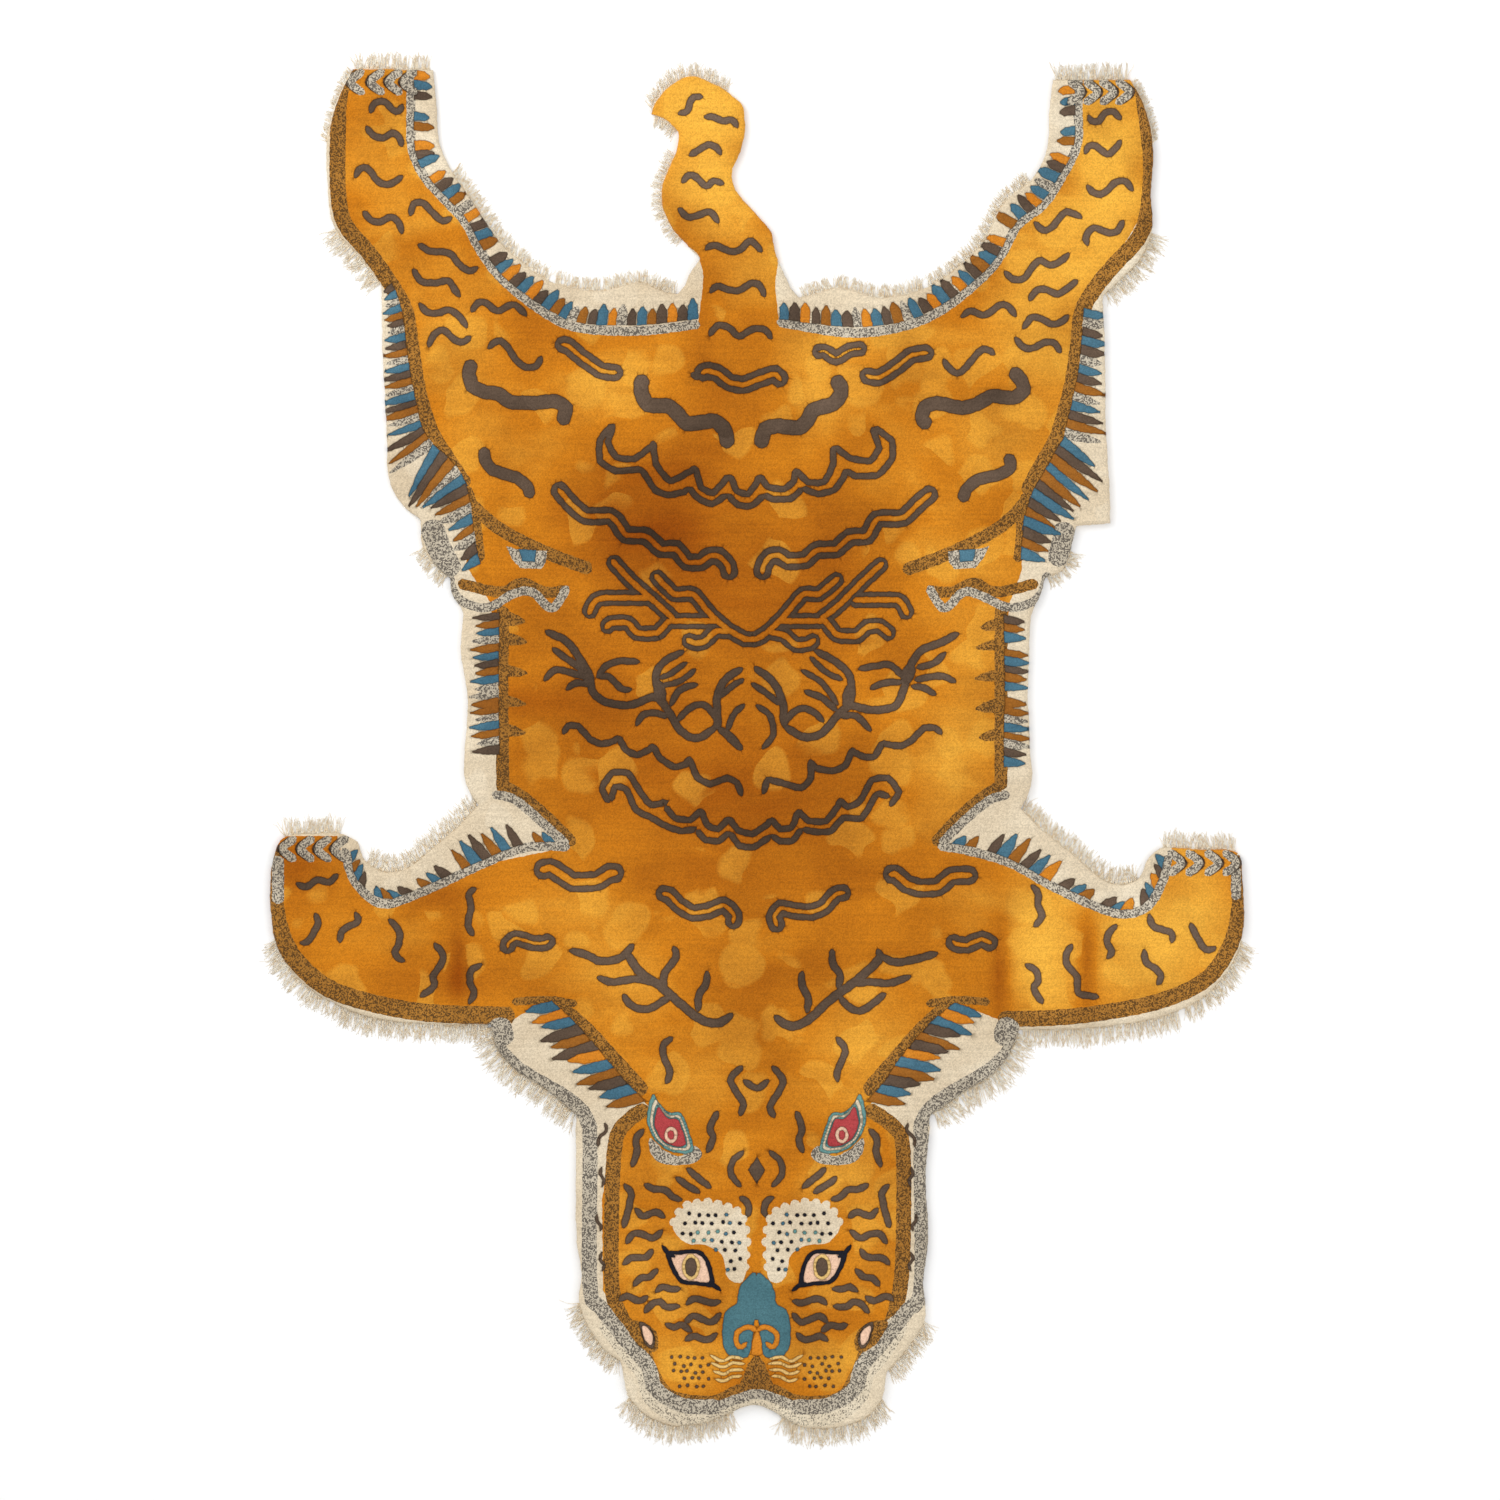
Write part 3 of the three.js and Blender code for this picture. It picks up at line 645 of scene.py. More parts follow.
# The small wavy stripes of the legs, tail and head, by where they lie. Each is a line of charcoal wool.
STRIPE_HALF_WIDTH = 3.5
STRIPE_TIP = 2.5  # how long the tips taper, in half widths
STRIPES = {
    "left hind leg": (
        ((370, 113), (375, 103), (385, 102), (393, 110), (399, 111), (403, 104)),
        ((366, 126), (373, 135), (383, 138), (392, 133), (399, 137), (402, 147)),
        ((355, 178), (359, 170), (367, 168), (379, 182), (390, 184), (403, 176)),
        ((410, 216), (414, 204), (423, 203), (433, 213), (443, 221), (452, 217)),
        ((363, 211), (371, 220), (380, 222), (391, 217), (399, 223), (402, 234)),
        ((418, 244), (430, 251), (449, 253), (458, 263), (469, 271), (478, 267)),
        ((413, 269), (421, 281), (434, 283), (448, 281), (455, 290), (460, 297)),
        ((419, 303), (427, 312), (438, 313), (449, 310), (460, 317), (467, 328)),
        ((471, 312), (478, 303), (486, 303), (497, 311), (506, 307), (515, 305), (527, 316)),
        ((428, 347), (434, 335), (443, 330), (455, 340), (463, 342), (471, 336)),
        ((488, 349), (495, 342), (504, 343), (517, 361), (526, 367), (536, 366), (542, 356)),
    ),
    "right hind leg": (
        ((1121, 120), (1114, 112), (1105, 113), (1099, 121), (1092, 121), (1088, 115)),
        ((1085, 154), (1089, 146), (1096, 146), (1107, 154), (1115, 149), (1121, 140)),
        ((1087, 185), (1094, 193), (1104, 193), (1116, 182), (1126, 182), (1133, 191)),
        ((1034, 222), (1043, 230), (1052, 227), (1064, 213), (1072, 213), (1082, 218)),
        ((1088, 246), (1086, 236), (1094, 228), (1106, 232), (1116, 232), (1124, 220)),
        ((1004, 271), (1013, 279), (1024, 278), (1038, 261), (1050, 265), (1061, 261), (1069, 253)),
        ((1029, 301), (1037, 290), (1047, 290), (1058, 294), (1069, 287), (1078, 280)),
        ((1023, 329), (1031, 318), (1039, 318), (1052, 324), (1061, 322), (1069, 315)),
        ((961, 317), (971, 311), (985, 315), (1000, 305), (1009, 307), (1016, 317)),
        ((1015, 337), (1023, 347), (1033, 348), (1046, 342), (1055, 344), (1061, 353)),
        ((943, 359), (951, 370), (961, 372), (980, 351), (988, 350), (995, 355)),
    ),
    "tail": (
        ((703, 97), (694, 97), (690, 103), (687, 111), (678, 114)),
        ((704, 117), (714, 117), (722, 121), (732, 120), (738, 128)),
        ((689, 156), (697, 151), (708, 145), (716, 147), (721, 155)),
        ((682, 183), (689, 175), (696, 177), (706, 186), (714, 181), (724, 184)),
        ((678, 208), (688, 217), (699, 215), (710, 212), (719, 223)),
        ((705, 250), (714, 245), (729, 251), (740, 250), (749, 241), (756, 245), (762, 252)),
        ((710, 293), (717, 286), (729, 290), (740, 290), (752, 283), (760, 286), (765, 297)),
        ((709, 336), (717, 326), (728, 327), (739, 336), (753, 329), (765, 330), (772, 339)),
    ),
    "left front leg": (
        ((296, 883), (306, 887), (317, 880), (329, 882), (338, 874)),
        ((315, 913), (318, 923), (313, 934), (307, 942), (300, 943)),
        ((355, 912), (358, 921), (346, 928), (341, 933), (340, 943)),
        ((389, 919), (399, 931), (399, 943), (395, 952), (398, 958), (405, 961)),
        ((434, 943), (443, 955), (440, 966), (433, 976), (434, 986), (420, 997)),
        ((476, 888), (469, 894), (471, 907), (468, 925), (474, 936)),
        ((482, 964), (471, 971), (470, 982), (474, 993), (469, 1004)),
    ),
    "right front leg": (
        ((1031, 885), (1038, 893), (1038, 905), (1042, 916), (1034, 927)),
        ((1072, 944), (1066, 956), (1068, 966), (1077, 977), (1079, 993), (1099, 997)),
        ((1117, 925), (1109, 933), (1107, 943), (1112, 951), (1107, 959)),
        ((1149, 914), (1153, 926), (1164, 930), (1172, 934), (1172, 943)),
        ((1190, 923), (1196, 935), (1203, 947), (1209, 950), (1216, 947)),
        ((1144, 949), (1146, 962), (1156, 969), (1161, 977), (1157, 985)),
        ((1025, 964), (1036, 971), (1038, 981), (1034, 989), (1043, 1004)),
    ),
    "neck": (
        ((673, 1037), (663, 1046), (665, 1060), (670, 1072), (666, 1084)),
        ((836, 1037), (845, 1049), (841, 1063), (837, 1072), (838, 1082)),
        ((743, 1066), (731, 1078), (735, 1090), (743, 1103), (740, 1116)),
        ((772, 1066), (783, 1080), (778, 1093), (770, 1107), (775, 1118)),
        ((743, 1080), (757, 1088), (769, 1080)),
        ((718, 1111), (710, 1128), (713, 1138), (707, 1153)),
        ((796, 1111), (802, 1128), (799, 1140), (803, 1153)),
    ),
}

# The head's stripes, drawn on its left and repeated on its right.
HEAD_MIDDLE = 756.5
HEAD_STRIPES = (
    ((644, 1129), (636, 1139), (637, 1151), (632, 1167)),
    ((624, 1184), (631, 1193), (630, 1202), (627, 1215), (623, 1228)),
    ((644, 1184), (654, 1189), (665, 1190), (673, 1197), (682, 1200)),
    ((635, 1208), (643, 1216), (656, 1212), (665, 1218)),
    ((626, 1244), (633, 1234), (642, 1234), (653, 1238), (663, 1230)),
    ((623, 1265), (631, 1258), (646, 1257), (653, 1249)),
    ((633, 1286), (641, 1278), (649, 1277), (658, 1269)),
    ((619, 1301), (627, 1296), (639, 1301), (648, 1296)),
    ((644, 1313), (652, 1304), (660, 1302), (667, 1307), (680, 1306)),
    ((655, 1292), (663, 1287), (671, 1289), (681, 1289)),
    ((686, 1305), (693, 1299), (702, 1300), (711, 1303), (721, 1301)),
    ((685, 1323), (693, 1316), (702, 1319), (712, 1322), (721, 1313)),
    ((665, 1324), (674, 1327), (682, 1325), (692, 1332)),
    ((685, 1341), (693, 1336), (702, 1339), (710, 1339), (717, 1333)),
    ((676, 1177), (685, 1184), (700, 1193)),
    ((687, 1168), (697, 1177), (711, 1188)),
    ((739, 1197), (746, 1201), (749, 1209), (747, 1217)),
)

# Plain lines of the back and legs: yarn, half width, how long the tips taper in half widths, places.
THICK_LINES = (
    ("charcoal", 7, 1, ((472, 360), (469, 373), (472, 386), (485, 392), (499, 394), (510, 402),
        (535, 403), (555, 401), (566, 408), (562, 425))),
    ("charcoal", 6, 1, ((484, 447), (485, 460), (493, 470), (517, 478), (527, 486), (531, 498))),
    ("charcoal", 7, 1, ((1011, 369), (1021, 380), (1024, 391), (1013, 398), (992, 396), (977, 404),
        (962, 408), (937, 403), (925, 407), (922, 418), (929, 428))),
    ("charcoal", 6, 1, ((1008, 454), (1011, 467), (1001, 474), (977, 480), (966, 490), (962, 502))),
    ("charcoal", 7.5, 1, ((645, 375), (641, 384), (642, 395), (648, 405), (668, 406), (677, 413),
        (687, 424), (703, 422), (715, 421), (725, 430), (728, 448))),
    ("charcoal", 7.5, 1, ((833, 377), (840, 385), (841, 394), (833, 404), (813, 410), (807, 421),
        (799, 428), (777, 426), (765, 429), (760, 448))),
    ("charcoal", 6.5, 1, ((697, 371), (696, 380))),
)

# Bars of saffron with a charcoal outline: half width over the outline, and places.
OUTLINE_WIDTH = 5.8
OUTLINE_SPREAD = 0.6
BARS = (
    (8, ((555, 345), (567, 345), (580, 356), (602, 371), (623, 373))),
    (7, ((812, 353), (824, 351), (836, 358), (850, 350), (867, 348))),
    (8, ((860, 374), (878, 378), (895, 368), (912, 355), (934, 352))),
    (8.5, ((696, 377), (706, 371), (717, 373), (729, 382), (743, 385), (759, 379), (775, 374),
        (785, 385))),
    (8.5, ((554, 484), (571, 504), (586, 516), (610, 516), (617, 522), (626, 535), (646, 536), (661, 549),
        (676, 549), (687, 562), (701, 562), (709, 556), (719, 556), (728, 566), (730, 580))),
    (8.5, ((936, 489), (919, 503), (903, 518), (877, 519), (867, 536), (850, 537), (836, 549), (817, 550),
        (805, 560), (788, 561), (778, 555), (769, 557), (763, 567), (762, 580))),
    (9.5, ((534, 872), (550, 868), (562, 875), (573, 882), (597, 881), (610, 873), (624, 874))),
    (8, ((656, 892), (669, 895), (680, 906), (693, 913), (708, 911), (724, 905), (734, 915), (732, 929))),
    (7.5, ((507, 954), (508, 944), (516, 938), (533, 943), (545, 943), (554, 937))),
    (9, ((883, 876), (895, 874), (907, 884), (920, 888), (938, 887), (952, 876), (978, 875))),
    (8, ((851, 892), (836, 894), (824, 907), (812, 912), (795, 911), (781, 908), (774, 917), (780, 932))),
    (8, ((948, 937), (956, 944), (967, 945), (982, 939), (997, 947))),
)

# Scalloped bars, each as the two lines of its outline. Every arc of a line starts where the last ended.
SCALLOPS = (
    # the upper bar
    ((614, 424), (608, 442), (616, 457), (634, 459), (652, 446)),
    ((653, 441), (656, 464), (670, 481), (691, 471)),
    ((695, 466), (701, 487), (713, 493), (727, 478)),
    ((730, 475), (737, 491), (748, 494), (757, 482)),
    ((760, 475), (768, 487), (784, 489), (794, 481)),
    ((795, 469), (808, 482), (824, 482), (833, 465), (833, 452)),
    ((834, 446), (850, 458), (870, 461), (879, 448), (872, 427)),
    ((613, 424), (600, 440), (600, 461), (616, 471), (641, 470), (655, 490), (668, 495), (684, 492)),
    ((688, 487), (699, 499), (712, 504), (725, 496)),
    ((727, 494), (738, 505), (751, 506), (761, 498)),
    ((763, 494), (772, 499), (790, 499), (799, 492)),
    ((802, 488), (818, 494), (834, 490), (844, 477)),
    ((844, 470), (856, 476), (878, 475), (892, 459), (892, 441), (874, 427)),
    # the lower bar
    ((609, 803), (602, 788), (612, 773), (628, 773), (641, 793), (651, 805), (666, 802)),
    ((665, 806), (675, 818), (690, 820), (700, 811)),
    ((701, 809), (707, 825), (718, 829), (727, 820)),
    ((728, 817), (738, 830), (752, 834), (768, 824)),
    ((771, 818), (780, 829), (792, 827), (797, 814)),
    ((797, 810), (809, 821), (826, 821), (838, 806)),
    ((839, 799), (848, 807), (860, 801), (872, 780), (888, 778), (899, 792), (890, 806)),
    ((611, 801), (615, 787), (626, 789), (636, 810), (650, 817), (668, 827), (682, 831), (696, 829)),
    ((696, 830), (706, 840), (719, 841), (728, 833)),
    ((729, 832), (740, 846), (754, 847), (768, 838)),
    ((771, 835), (780, 841), (792, 841), (801, 830)),
    ((802, 829), (816, 832), (831, 831), (843, 818), (862, 818), (877, 794), (890, 797)),
)
SCALLOP_HALF_WIDTH = 3.3
CUSP_REACH = 16  # arcs that end nearer than this are joined in a cusp
ANGULAR = 0.45  # how soft the bends of the stepped bars are

# The thin scalloped lines above the lower bar, as solid arcs.
THIN_ARCS = (
    ((563, 734), (568, 726), (578, 726), (590, 739), (601, 744), (614, 741)),
    ((618, 736), (626, 750), (637, 755), (650, 749)),
    ((652, 744), (660, 758), (674, 767), (686, 764)),
    ((689, 757), (697, 777), (710, 784), (727, 778), (737, 783), (742, 796)),
    ((942, 734), (935, 728), (924, 728), (912, 740), (901, 746), (886, 744)),
    ((883, 741), (875, 756), (864, 757), (854, 752)),
    ((853, 748), (845, 766), (832, 771), (816, 768)),
    ((810, 760), (811, 778), (801, 788), (782, 783), (768, 780), (763, 794)),
)
THIN_ARC_HALF_WIDTH = 3.4


def stripes():
    lines = [line for group in STRIPES.values() for line in group]
    lines += HEAD_STRIPES + tuple(mirrored(line, HEAD_MIDDLE) for line in HEAD_STRIPES)
    return [("charcoal", ribbon(line, STRIPE_HALF_WIDTH, STRIPE_TIP)) for line in lines]


def bars():
    """Each bar as a charcoal line with a thinner saffron one on it."""
    shapes = []
    for half_width, line in BARS:
        shapes.append(("charcoal", ribbon(line, half_width + OUTLINE_SPREAD, ease=ANGULAR)))
        shapes.append(("saffron", ribbon(line, half_width - OUTLINE_WIDTH, 2, ANGULAR, OUTLINE_WIDTH)))
    return shapes


def joined(arcs):
    """Arcs that meet in cusps: each runs on to where its neighbour starts."""
    lines = []
    for arc, following in zip(arcs, arcs[1:] + arcs[:1]):
        meets = math.dist(arc[-1], following[0]) < CUSP_REACH
        lines.append(arc + following[:1] if meets else arc)
    return lines


def back_lines():
    shapes = [(yarn, ribbon(line, half_width, tip, ANGULAR)) for yarn, half_width, tip, line in THICK_LINES]
    for arcs, half_width, tip in ((SCALLOPS, SCALLOP_HALF_WIDTH, 1.5), (THIN_ARCS, THIN_ARC_HALF_WIDTH, 2)):
        shapes += [("charcoal", ribbon(line, half_width, tip, ANGULAR)) for line in joined(arcs)]
    return shapes


# The cloud motif over the middle of the back: bands of charcoal that run together round saffron cores.
CLOUD_HALF_WIDTH = 8
CLOUD_CORE = 3
CLOUD_END = 3.5  # how much shorter the cores are at each end
CLOUD = (
    ((609, 557), (630, 580), (655, 602), (677, 622)),
    ((656, 598), (602, 598), (593, 604), (587, 618)),
    ((677, 620), (668, 622), (657, 633), (637, 633), (628, 623), (611, 623), (603, 632)),
    ((666, 621), (724, 621)),
    ((652, 572), (674, 594), (693, 594), (710, 614), (727, 629), (745, 639), (762, 639)),
    ((683, 637), (694, 643), (704, 642), (716, 631), (734, 632)),
    ((886, 560), (863, 581), (838, 606), (817, 622)),
    ((849, 600), (897, 600), (904, 607), (909, 619)),
    ((817, 620), (826, 622), (837, 635), (857, 636), (867, 627), (880, 626), (894, 638)),
    ((774, 621), (828, 621)),
    ((842, 575), (819, 594), (803, 594), (785, 615), (770, 630), (757, 639), (750, 639)),
    ((819, 637), (808, 644), (796, 645), (784, 635), (764, 631)),
)

# The flames beside the spine: a trunk and its tongues on each side, half width first.
FLAMES = (
    (8, ((580, 664), (591, 682))),
    (8, ((912, 664), (904, 684))),
    (6.5, ((658, 680), (662, 706))),
    (6.5, ((851, 684), (846, 708))),
    (4, ((545, 631), (566, 641), (578, 656), (589, 675), (593, 692), (606, 702), (630, 705), (655, 697),
        (667, 709), (681, 731), (698, 738), (717, 726))),
    (3.5, ((552, 648), (570, 661), (588, 673))),
    (3.5, ((544, 681), (555, 670), (572, 673), (587, 678))),
    (3.5, ((566, 690), (576, 683), (591, 685))),
    (3.5, ((640, 662), (621, 661), (606, 666), (597, 678))),
    (3.5, ((632, 689), (622, 689), (609, 677), (598, 677))),
    (3.8, ((684, 651), (665, 661), (656, 674), (658, 690), (664, 703))),
    (3, ((687, 662), (670, 674), (659, 678))),
    (3, ((696, 669), (680, 681), (661, 686))),
    (3.5, ((698, 684), (680, 690), (670, 706))),
    (3.5, ((636, 726), (643, 715), (655, 713), (668, 717))),
    (3.5, ((677, 721), (690, 708), (704, 705), (716, 718), (716, 730))),
    (4, ((743, 668), (727, 678), (718, 693), (717, 710), (719, 729))),
    (3.2, ((744, 679), (731, 687), (719, 698))),
    (3.2, ((745, 704), (734, 714), (727, 731))),
    (4.5, ((718, 728), (729, 736), (742, 750))),
    (4, ((959, 633), (940, 643), (922, 650), (911, 665), (904, 688), (895, 706), (872, 710), (850, 706),
        (837, 716), (822, 733), (804, 737), (784, 726))),
    (3.5, ((946, 652), (934, 663), (916, 668))),
    (3.5, ((956, 682), (940, 676), (914, 680))),
    (3.5, ((936, 695), (924, 688), (911, 686))),
    (3.5, ((858, 669), (876, 666), (890, 665), (905, 678))),
    (3.5, ((870, 689), (884, 683), (903, 682))),
    (3.8, ((814, 650), (836, 662), (850, 677), (852, 704))),
    (3, ((810, 657), (826, 672), (843, 680))),
    (3, ((801, 670), (822, 683), (838, 705))),
    (3.5, ((804, 691), (822, 698), (837, 711))),
    (3.5, ((840, 717), (856, 716), (871, 731))),
    (3.5, ((824, 722), (812, 711), (799, 709), (787, 719), (784, 728))),
    (4, ((754, 667), (773, 682), (783, 704), (783, 726))),
    (3.2, ((751, 683), (766, 693), (781, 705))),
    (3.2, ((756, 705), (770, 716), (773, 735), (762, 749))),
)

# The branches of the chest, on each side: half width and places, from the tips to the foot.
BRANCHES = (
    (4.5, ((626, 952), (640, 972), (660, 986), (682, 1005), (700, 1019), (718, 1023), (733, 1014))),
    (4, ((569, 950), (587, 955), (600, 961), (620, 958), (634, 944))),
    (3.8, ((597, 977), (612, 982), (637, 979), (658, 984))),
    (3.8, ((623, 994), (631, 1005), (648, 1009), (671, 996))),
    (3.8, ((673, 946), (676, 957), (664, 975), (665, 992))),
    (3.8, ((707, 971), (706, 984), (699, 995), (698, 1012))),
    (4.5, ((774, 1016), (790, 1026), (808, 1020), (830, 1000), (857, 980), (879, 959), (877, 949))),
    (4, ((880, 955), (894, 962), (912, 960), (938, 953))),
    (3.8, ((852, 984), (870, 982), (890, 983), (911, 976))),
    (3.8, ((839, 996), (849, 1007), (863, 1010), (886, 993))),
    (3.8, ((832, 949), (833, 964), (840, 975), (838, 989))),
    (3.8, ((802, 971), (802, 985), (808, 998), (807, 1013))),
)

# The two small eyes of the flanks.
FLANK_MIDDLE = 747.5
FLANK_EYE = ((506, 546), (516, 549), (547, 551), (546, 562), (541, 569), (520, 568), (512, 559))
FLANK_PUPIL = ((519, 549), (536, 550), (535, 562), (522, 561))

# The head, drawn on its left and repeated on its right about HEAD_MIDDLE.
EAR = (
    (654, 1098), (661, 1107), (669, 1114), (680, 1115), (686, 1128), (691, 1149), (676, 1151),
    (664, 1146), (655, 1137), (649, 1120),
)
EAR_MIDDLE = (670, 1132)
EAR_LAYERS = (("teal", 1.10), ("cream", 0.95), ("teal", 0.82), ("red", 0.74))
EAR_RING_PLACE = (671, 1135)
EAR_RINGS = (("pink", 6.5, 8.5), ("red", 3.5, 5.0))
EAR_TUFT = (
    (650, 1138), (664, 1150), (680, 1156), (695, 1146), (702, 1156), (690, 1164), (664, 1164),
    (651, 1154),
)
BROW = (
    (673, 1228), (678, 1213), (692, 1203), (710, 1202), (737, 1210), (745, 1222), (747, 1250),
    (745, 1277), (737, 1283), (727, 1276), (722, 1255), (705, 1245), (686, 1243),
)
BROW_SCALLOPS = (
    (674, 1222), (679, 1212), (687, 1205), (697, 1203), (708, 1202), (718, 1204), (728, 1207),
    (737, 1211), (743, 1219), (746, 1230), (747, 1242), (746, 1255), (745, 1267),
)
SCALLOP_RADIUS = 4.5
BROW_DOT_YARNS = ("navy", "teal", "navy", "blue")
BROW_DOT_RADIUS = 2.1
BROW_DOT_PITCH = 9.0
BROW_DOT_WANDER = 1.6
BROW_DOTS_SHARE = 0.88  # how much of the brow is sown
EYE_WHITE = (
    (668, 1254), (679, 1252), (697, 1251), (706, 1258), (711, 1271), (712, 1285), (698, 1284),
    (682, 1282), (673, 1270),
)
EYE_LAYERS = (("navy", 1.08), ("pink", 0.84))
IRIS_PLACE = (691, 1267)
IRIS_LAYERS = (("straw", 9, 13), ("charcoal", 6, 9.5))  # yarn, half its width and height
EYE_CORNERS = (((662, 1245), (668, 1253), (675, 1257)), ((705, 1284), (713, 1285), (721, 1291)))
NOSE = (
    (757, 1277), (744, 1281), (738, 1293), (737, 1303), (727, 1310), (723, 1322), (723, 1344),
    (730, 1356), (742, 1358), (751, 1348),
)
NOSTRIL = ((757, 1331), (748, 1327), (737, 1333), (737, 1344), (742, 1347), (747, 1342))
NOSE_CLEFT = ((757, 1328), (761, 1338), (763, 1354), (757, 1356), (751, 1354), (753, 1338))
NOSE_BRIDGE = ((757, 1281), (757, 1320))
NOSE_BRIDGE_HALF_WIDTH = 11
PHILTRUM = ((757, 1352), (748, 1364), (738, 1389), (757, 1387))
WHISKER_LINES = (
    ((744, 1359), (732, 1357), (722, 1361), (710, 1355)),
    ((745, 1364), (733, 1363), (723, 1367), (711, 1363)),
    ((744, 1370), (732, 1370), (724, 1374), (713, 1371)),
    ((742, 1376), (732, 1377), (724, 1381), (715, 1379)),
)
CHEEK_WEDGE = ((625, 1322), (642, 1322), (656, 1332), (658, 1348), (650, 1352), (636, 1343))
CHEEK_SPOT = ((642, 1326), (649, 1329), (653, 1337), (651, 1345), (645, 1340))
WHISKER_DOTS = {"columns": (672, 680, 688, 696, 704), "rows": (1358, 1365, 1372, 1379, 1386)}
WHISKER_DOT_RADIUS = 1.8
WHISKER_DOT_WANDER = 1.5
WHISKER_DOT_STAGGER = 4
SQUIGGLES = (
    ((605, 1123), (606, 1131), (599, 1138), (598, 1147)),
    ((602, 1167), (600, 1174), (604, 1180), (602, 1187)),
    ((597, 1214), (597, 1221), (601, 1226), (600, 1231)),
    ((602, 1252), (600, 1259), (604, 1265), (602, 1271)),
)
# A plain ornament on the forehead: two facing crescents and a lozenge between them.
FOREHEAD_CRESCENT = ((744, 1151), (733, 1161), (731, 1174), (741, 1187))
FOREHEAD_LOZENGE = ((757, 1157), (765, 1170), (757, 1184), (748, 1170))


def cloud():
    """The whole charcoal form first and then its cores, so that the bands open into each other."""
    shapes = [("charcoal", ribbon(line, CLOUD_HALF_WIDTH, ease=ANGULAR)) for line in CLOUD]
    return shapes + [("saffron", ribbon(line, CLOUD_CORE, 1.5, ANGULAR, CLOUD_END)) for line in CLOUD]


def flames_and_branches():
    return [("charcoal", ribbon(line, half_width, 3)) for half_width, line in FLAMES + BRANCHES]


def flank_eyes():
    shapes = []
    for yarn, points in (("pepper", FLANK_EYE), ("blue", FLANK_PUPIL)):
        shapes += [(yarn, patch(points, False)), (yarn, patch(mirrored(points, FLANK_MIDDLE), False))]
    return shapes


def scaled(points, middle, size):
    """The same places drawn in or out from a middle."""
    return [(middle[0] + (x - middle[0]) * size, middle[1] + (y - middle[1]) * size) for x, y in points]


def centre_of(points):
    return tuple(np.mean(points, axis=0))


def ear():
    shapes = [("pepper", EAR_TUFT)]
    shapes += [(yarn, scaled(EAR, EAR_MIDDLE, size)) for yarn, size in EAR_LAYERS]
    drawn = [(yarn, patch(points)) for yarn, points in shapes]
    return drawn + [(yarn, dot(EAR_RING_PLACE, across, down)) for yarn, across, down in EAR_RINGS]


def brow():
    """A pale patch with a scalloped edge, sown with dark dots in leaning rows."""
    shapes = [("cream", patch(BROW))] + [("cream", dot(at, SCALLOP_RADIUS)) for at in BROW_SCALLOPS]
    chance = random.Random(SEED)
    low, high = np.min(BROW, axis=0), np.max(BROW, axis=0)
    drawn_in = np.array(scaled(BROW, centre_of(BROW), BROW_DOTS_SHARE))
    for row in range(int((high[1] - low[1]) / BROW_DOT_PITCH) + 1):
        for column in range(int((high[0] - low[0]) / BROW_DOT_PITCH) + 2):
            at = low + (np.array([column - 0.5 * (row % 2), row]) + 0.4) * BROW_DOT_PITCH
            at += [chance.uniform(-BROW_DOT_WANDER, BROW_DOT_WANDER) for _ in range(2)]
            if inside(at[None, :], drawn_in)[0]:
                shapes.append((BROW_DOT_YARNS[chance.randrange(4)], dot(at, BROW_DOT_RADIUS)))
    return shapes


def eye():
    middle = centre_of(EYE_WHITE)
    shapes = [(yarn, patch(scaled(EYE_WHITE, middle, size))) for yarn, size in EYE_LAYERS]
    shapes += [("navy", ribbon(line, 2.2, 2)) for line in EYE_CORNERS]
    return shapes + [(yarn, dot(IRIS_PLACE, across, down)) for yarn, across, down in IRIS_LAYERS]


def nose_side():
    shapes = [("nose", patch(NOSE)), ("orange", ribbon(NOSTRIL, 2.7)), ("heather", patch(PHILTRUM, False))]
    return shapes + [("straw", ribbon(line, 1.6, 3)) for line in WHISKER_LINES]


def cheek():
    """The spot on the cheek and the roots of the whiskers."""
    chance = random.Random(SEED)
    shapes = [("heather", patch(CHEEK_WEDGE)), ("pink", patch(CHEEK_SPOT))]
    shapes.insert(1, ("charcoal", patch(scaled(CHEEK_SPOT, centre_of(CHEEK_SPOT), 1.4))))
    for row, y in enumerate(WHISKER_DOTS["rows"]):
        for x in WHISKER_DOTS["columns"][row // 3 :]:
            stray = [chance.uniform(-WHISKER_DOT_WANDER, WHISKER_DOT_WANDER) for _ in range(2)]
            at = (x + WHISKER_DOT_STAGGER * (row % 2) + stray[0], y + stray[1])
            shapes.append(("charcoal", dot(at, WHISKER_DOT_RADIUS)))
    return shapes


def head_side():
    lines = [("charcoal", ribbon(line, 1.7, 2)) for line in SQUIGGLES]
    lines.append(("charcoal", ribbon(FOREHEAD_CRESCENT, 3.2, 3)))
    return lines + brow() + ear() + eye() + nose_side() + cheek()


def head():
    """The face: one side and its mirror, then what crosses the middle."""
    axis = (HEAD_MIDDLE - SPINE_PX) * PIXEL
    shapes = []
    for yarn, loop in head_side():
        shapes.append((yarn, loop))
        shapes.append((yarn, np.column_stack([2 * axis - loop[:, 0], loop[:, 1]])))
    shapes.append(("charcoal", patch(FOREHEAD_LOZENGE, False)))
    shapes.append(("nose", ribbon(NOSE_BRIDGE, NOSE_BRIDGE_HALF_WIDTH)))
    shapes.append(("orange", patch(NOSE_CLEFT, False)))
    return shapes


def field():
    """The saffron ground of the body, and the tail's."""
    left = [row[0] for row in FIELD_EDGE]
    right = [row[1] for row in FIELD_EDGE]
    body = straight_line(on_cloth(left + right[::-1]), BORDER_STEP)
    return [("saffron", body), ("saffron", patch(TAIL))]


def bands():
    return [(yarn, ribbon(line, half_width)) for yarn, half_width, line in BANDS]


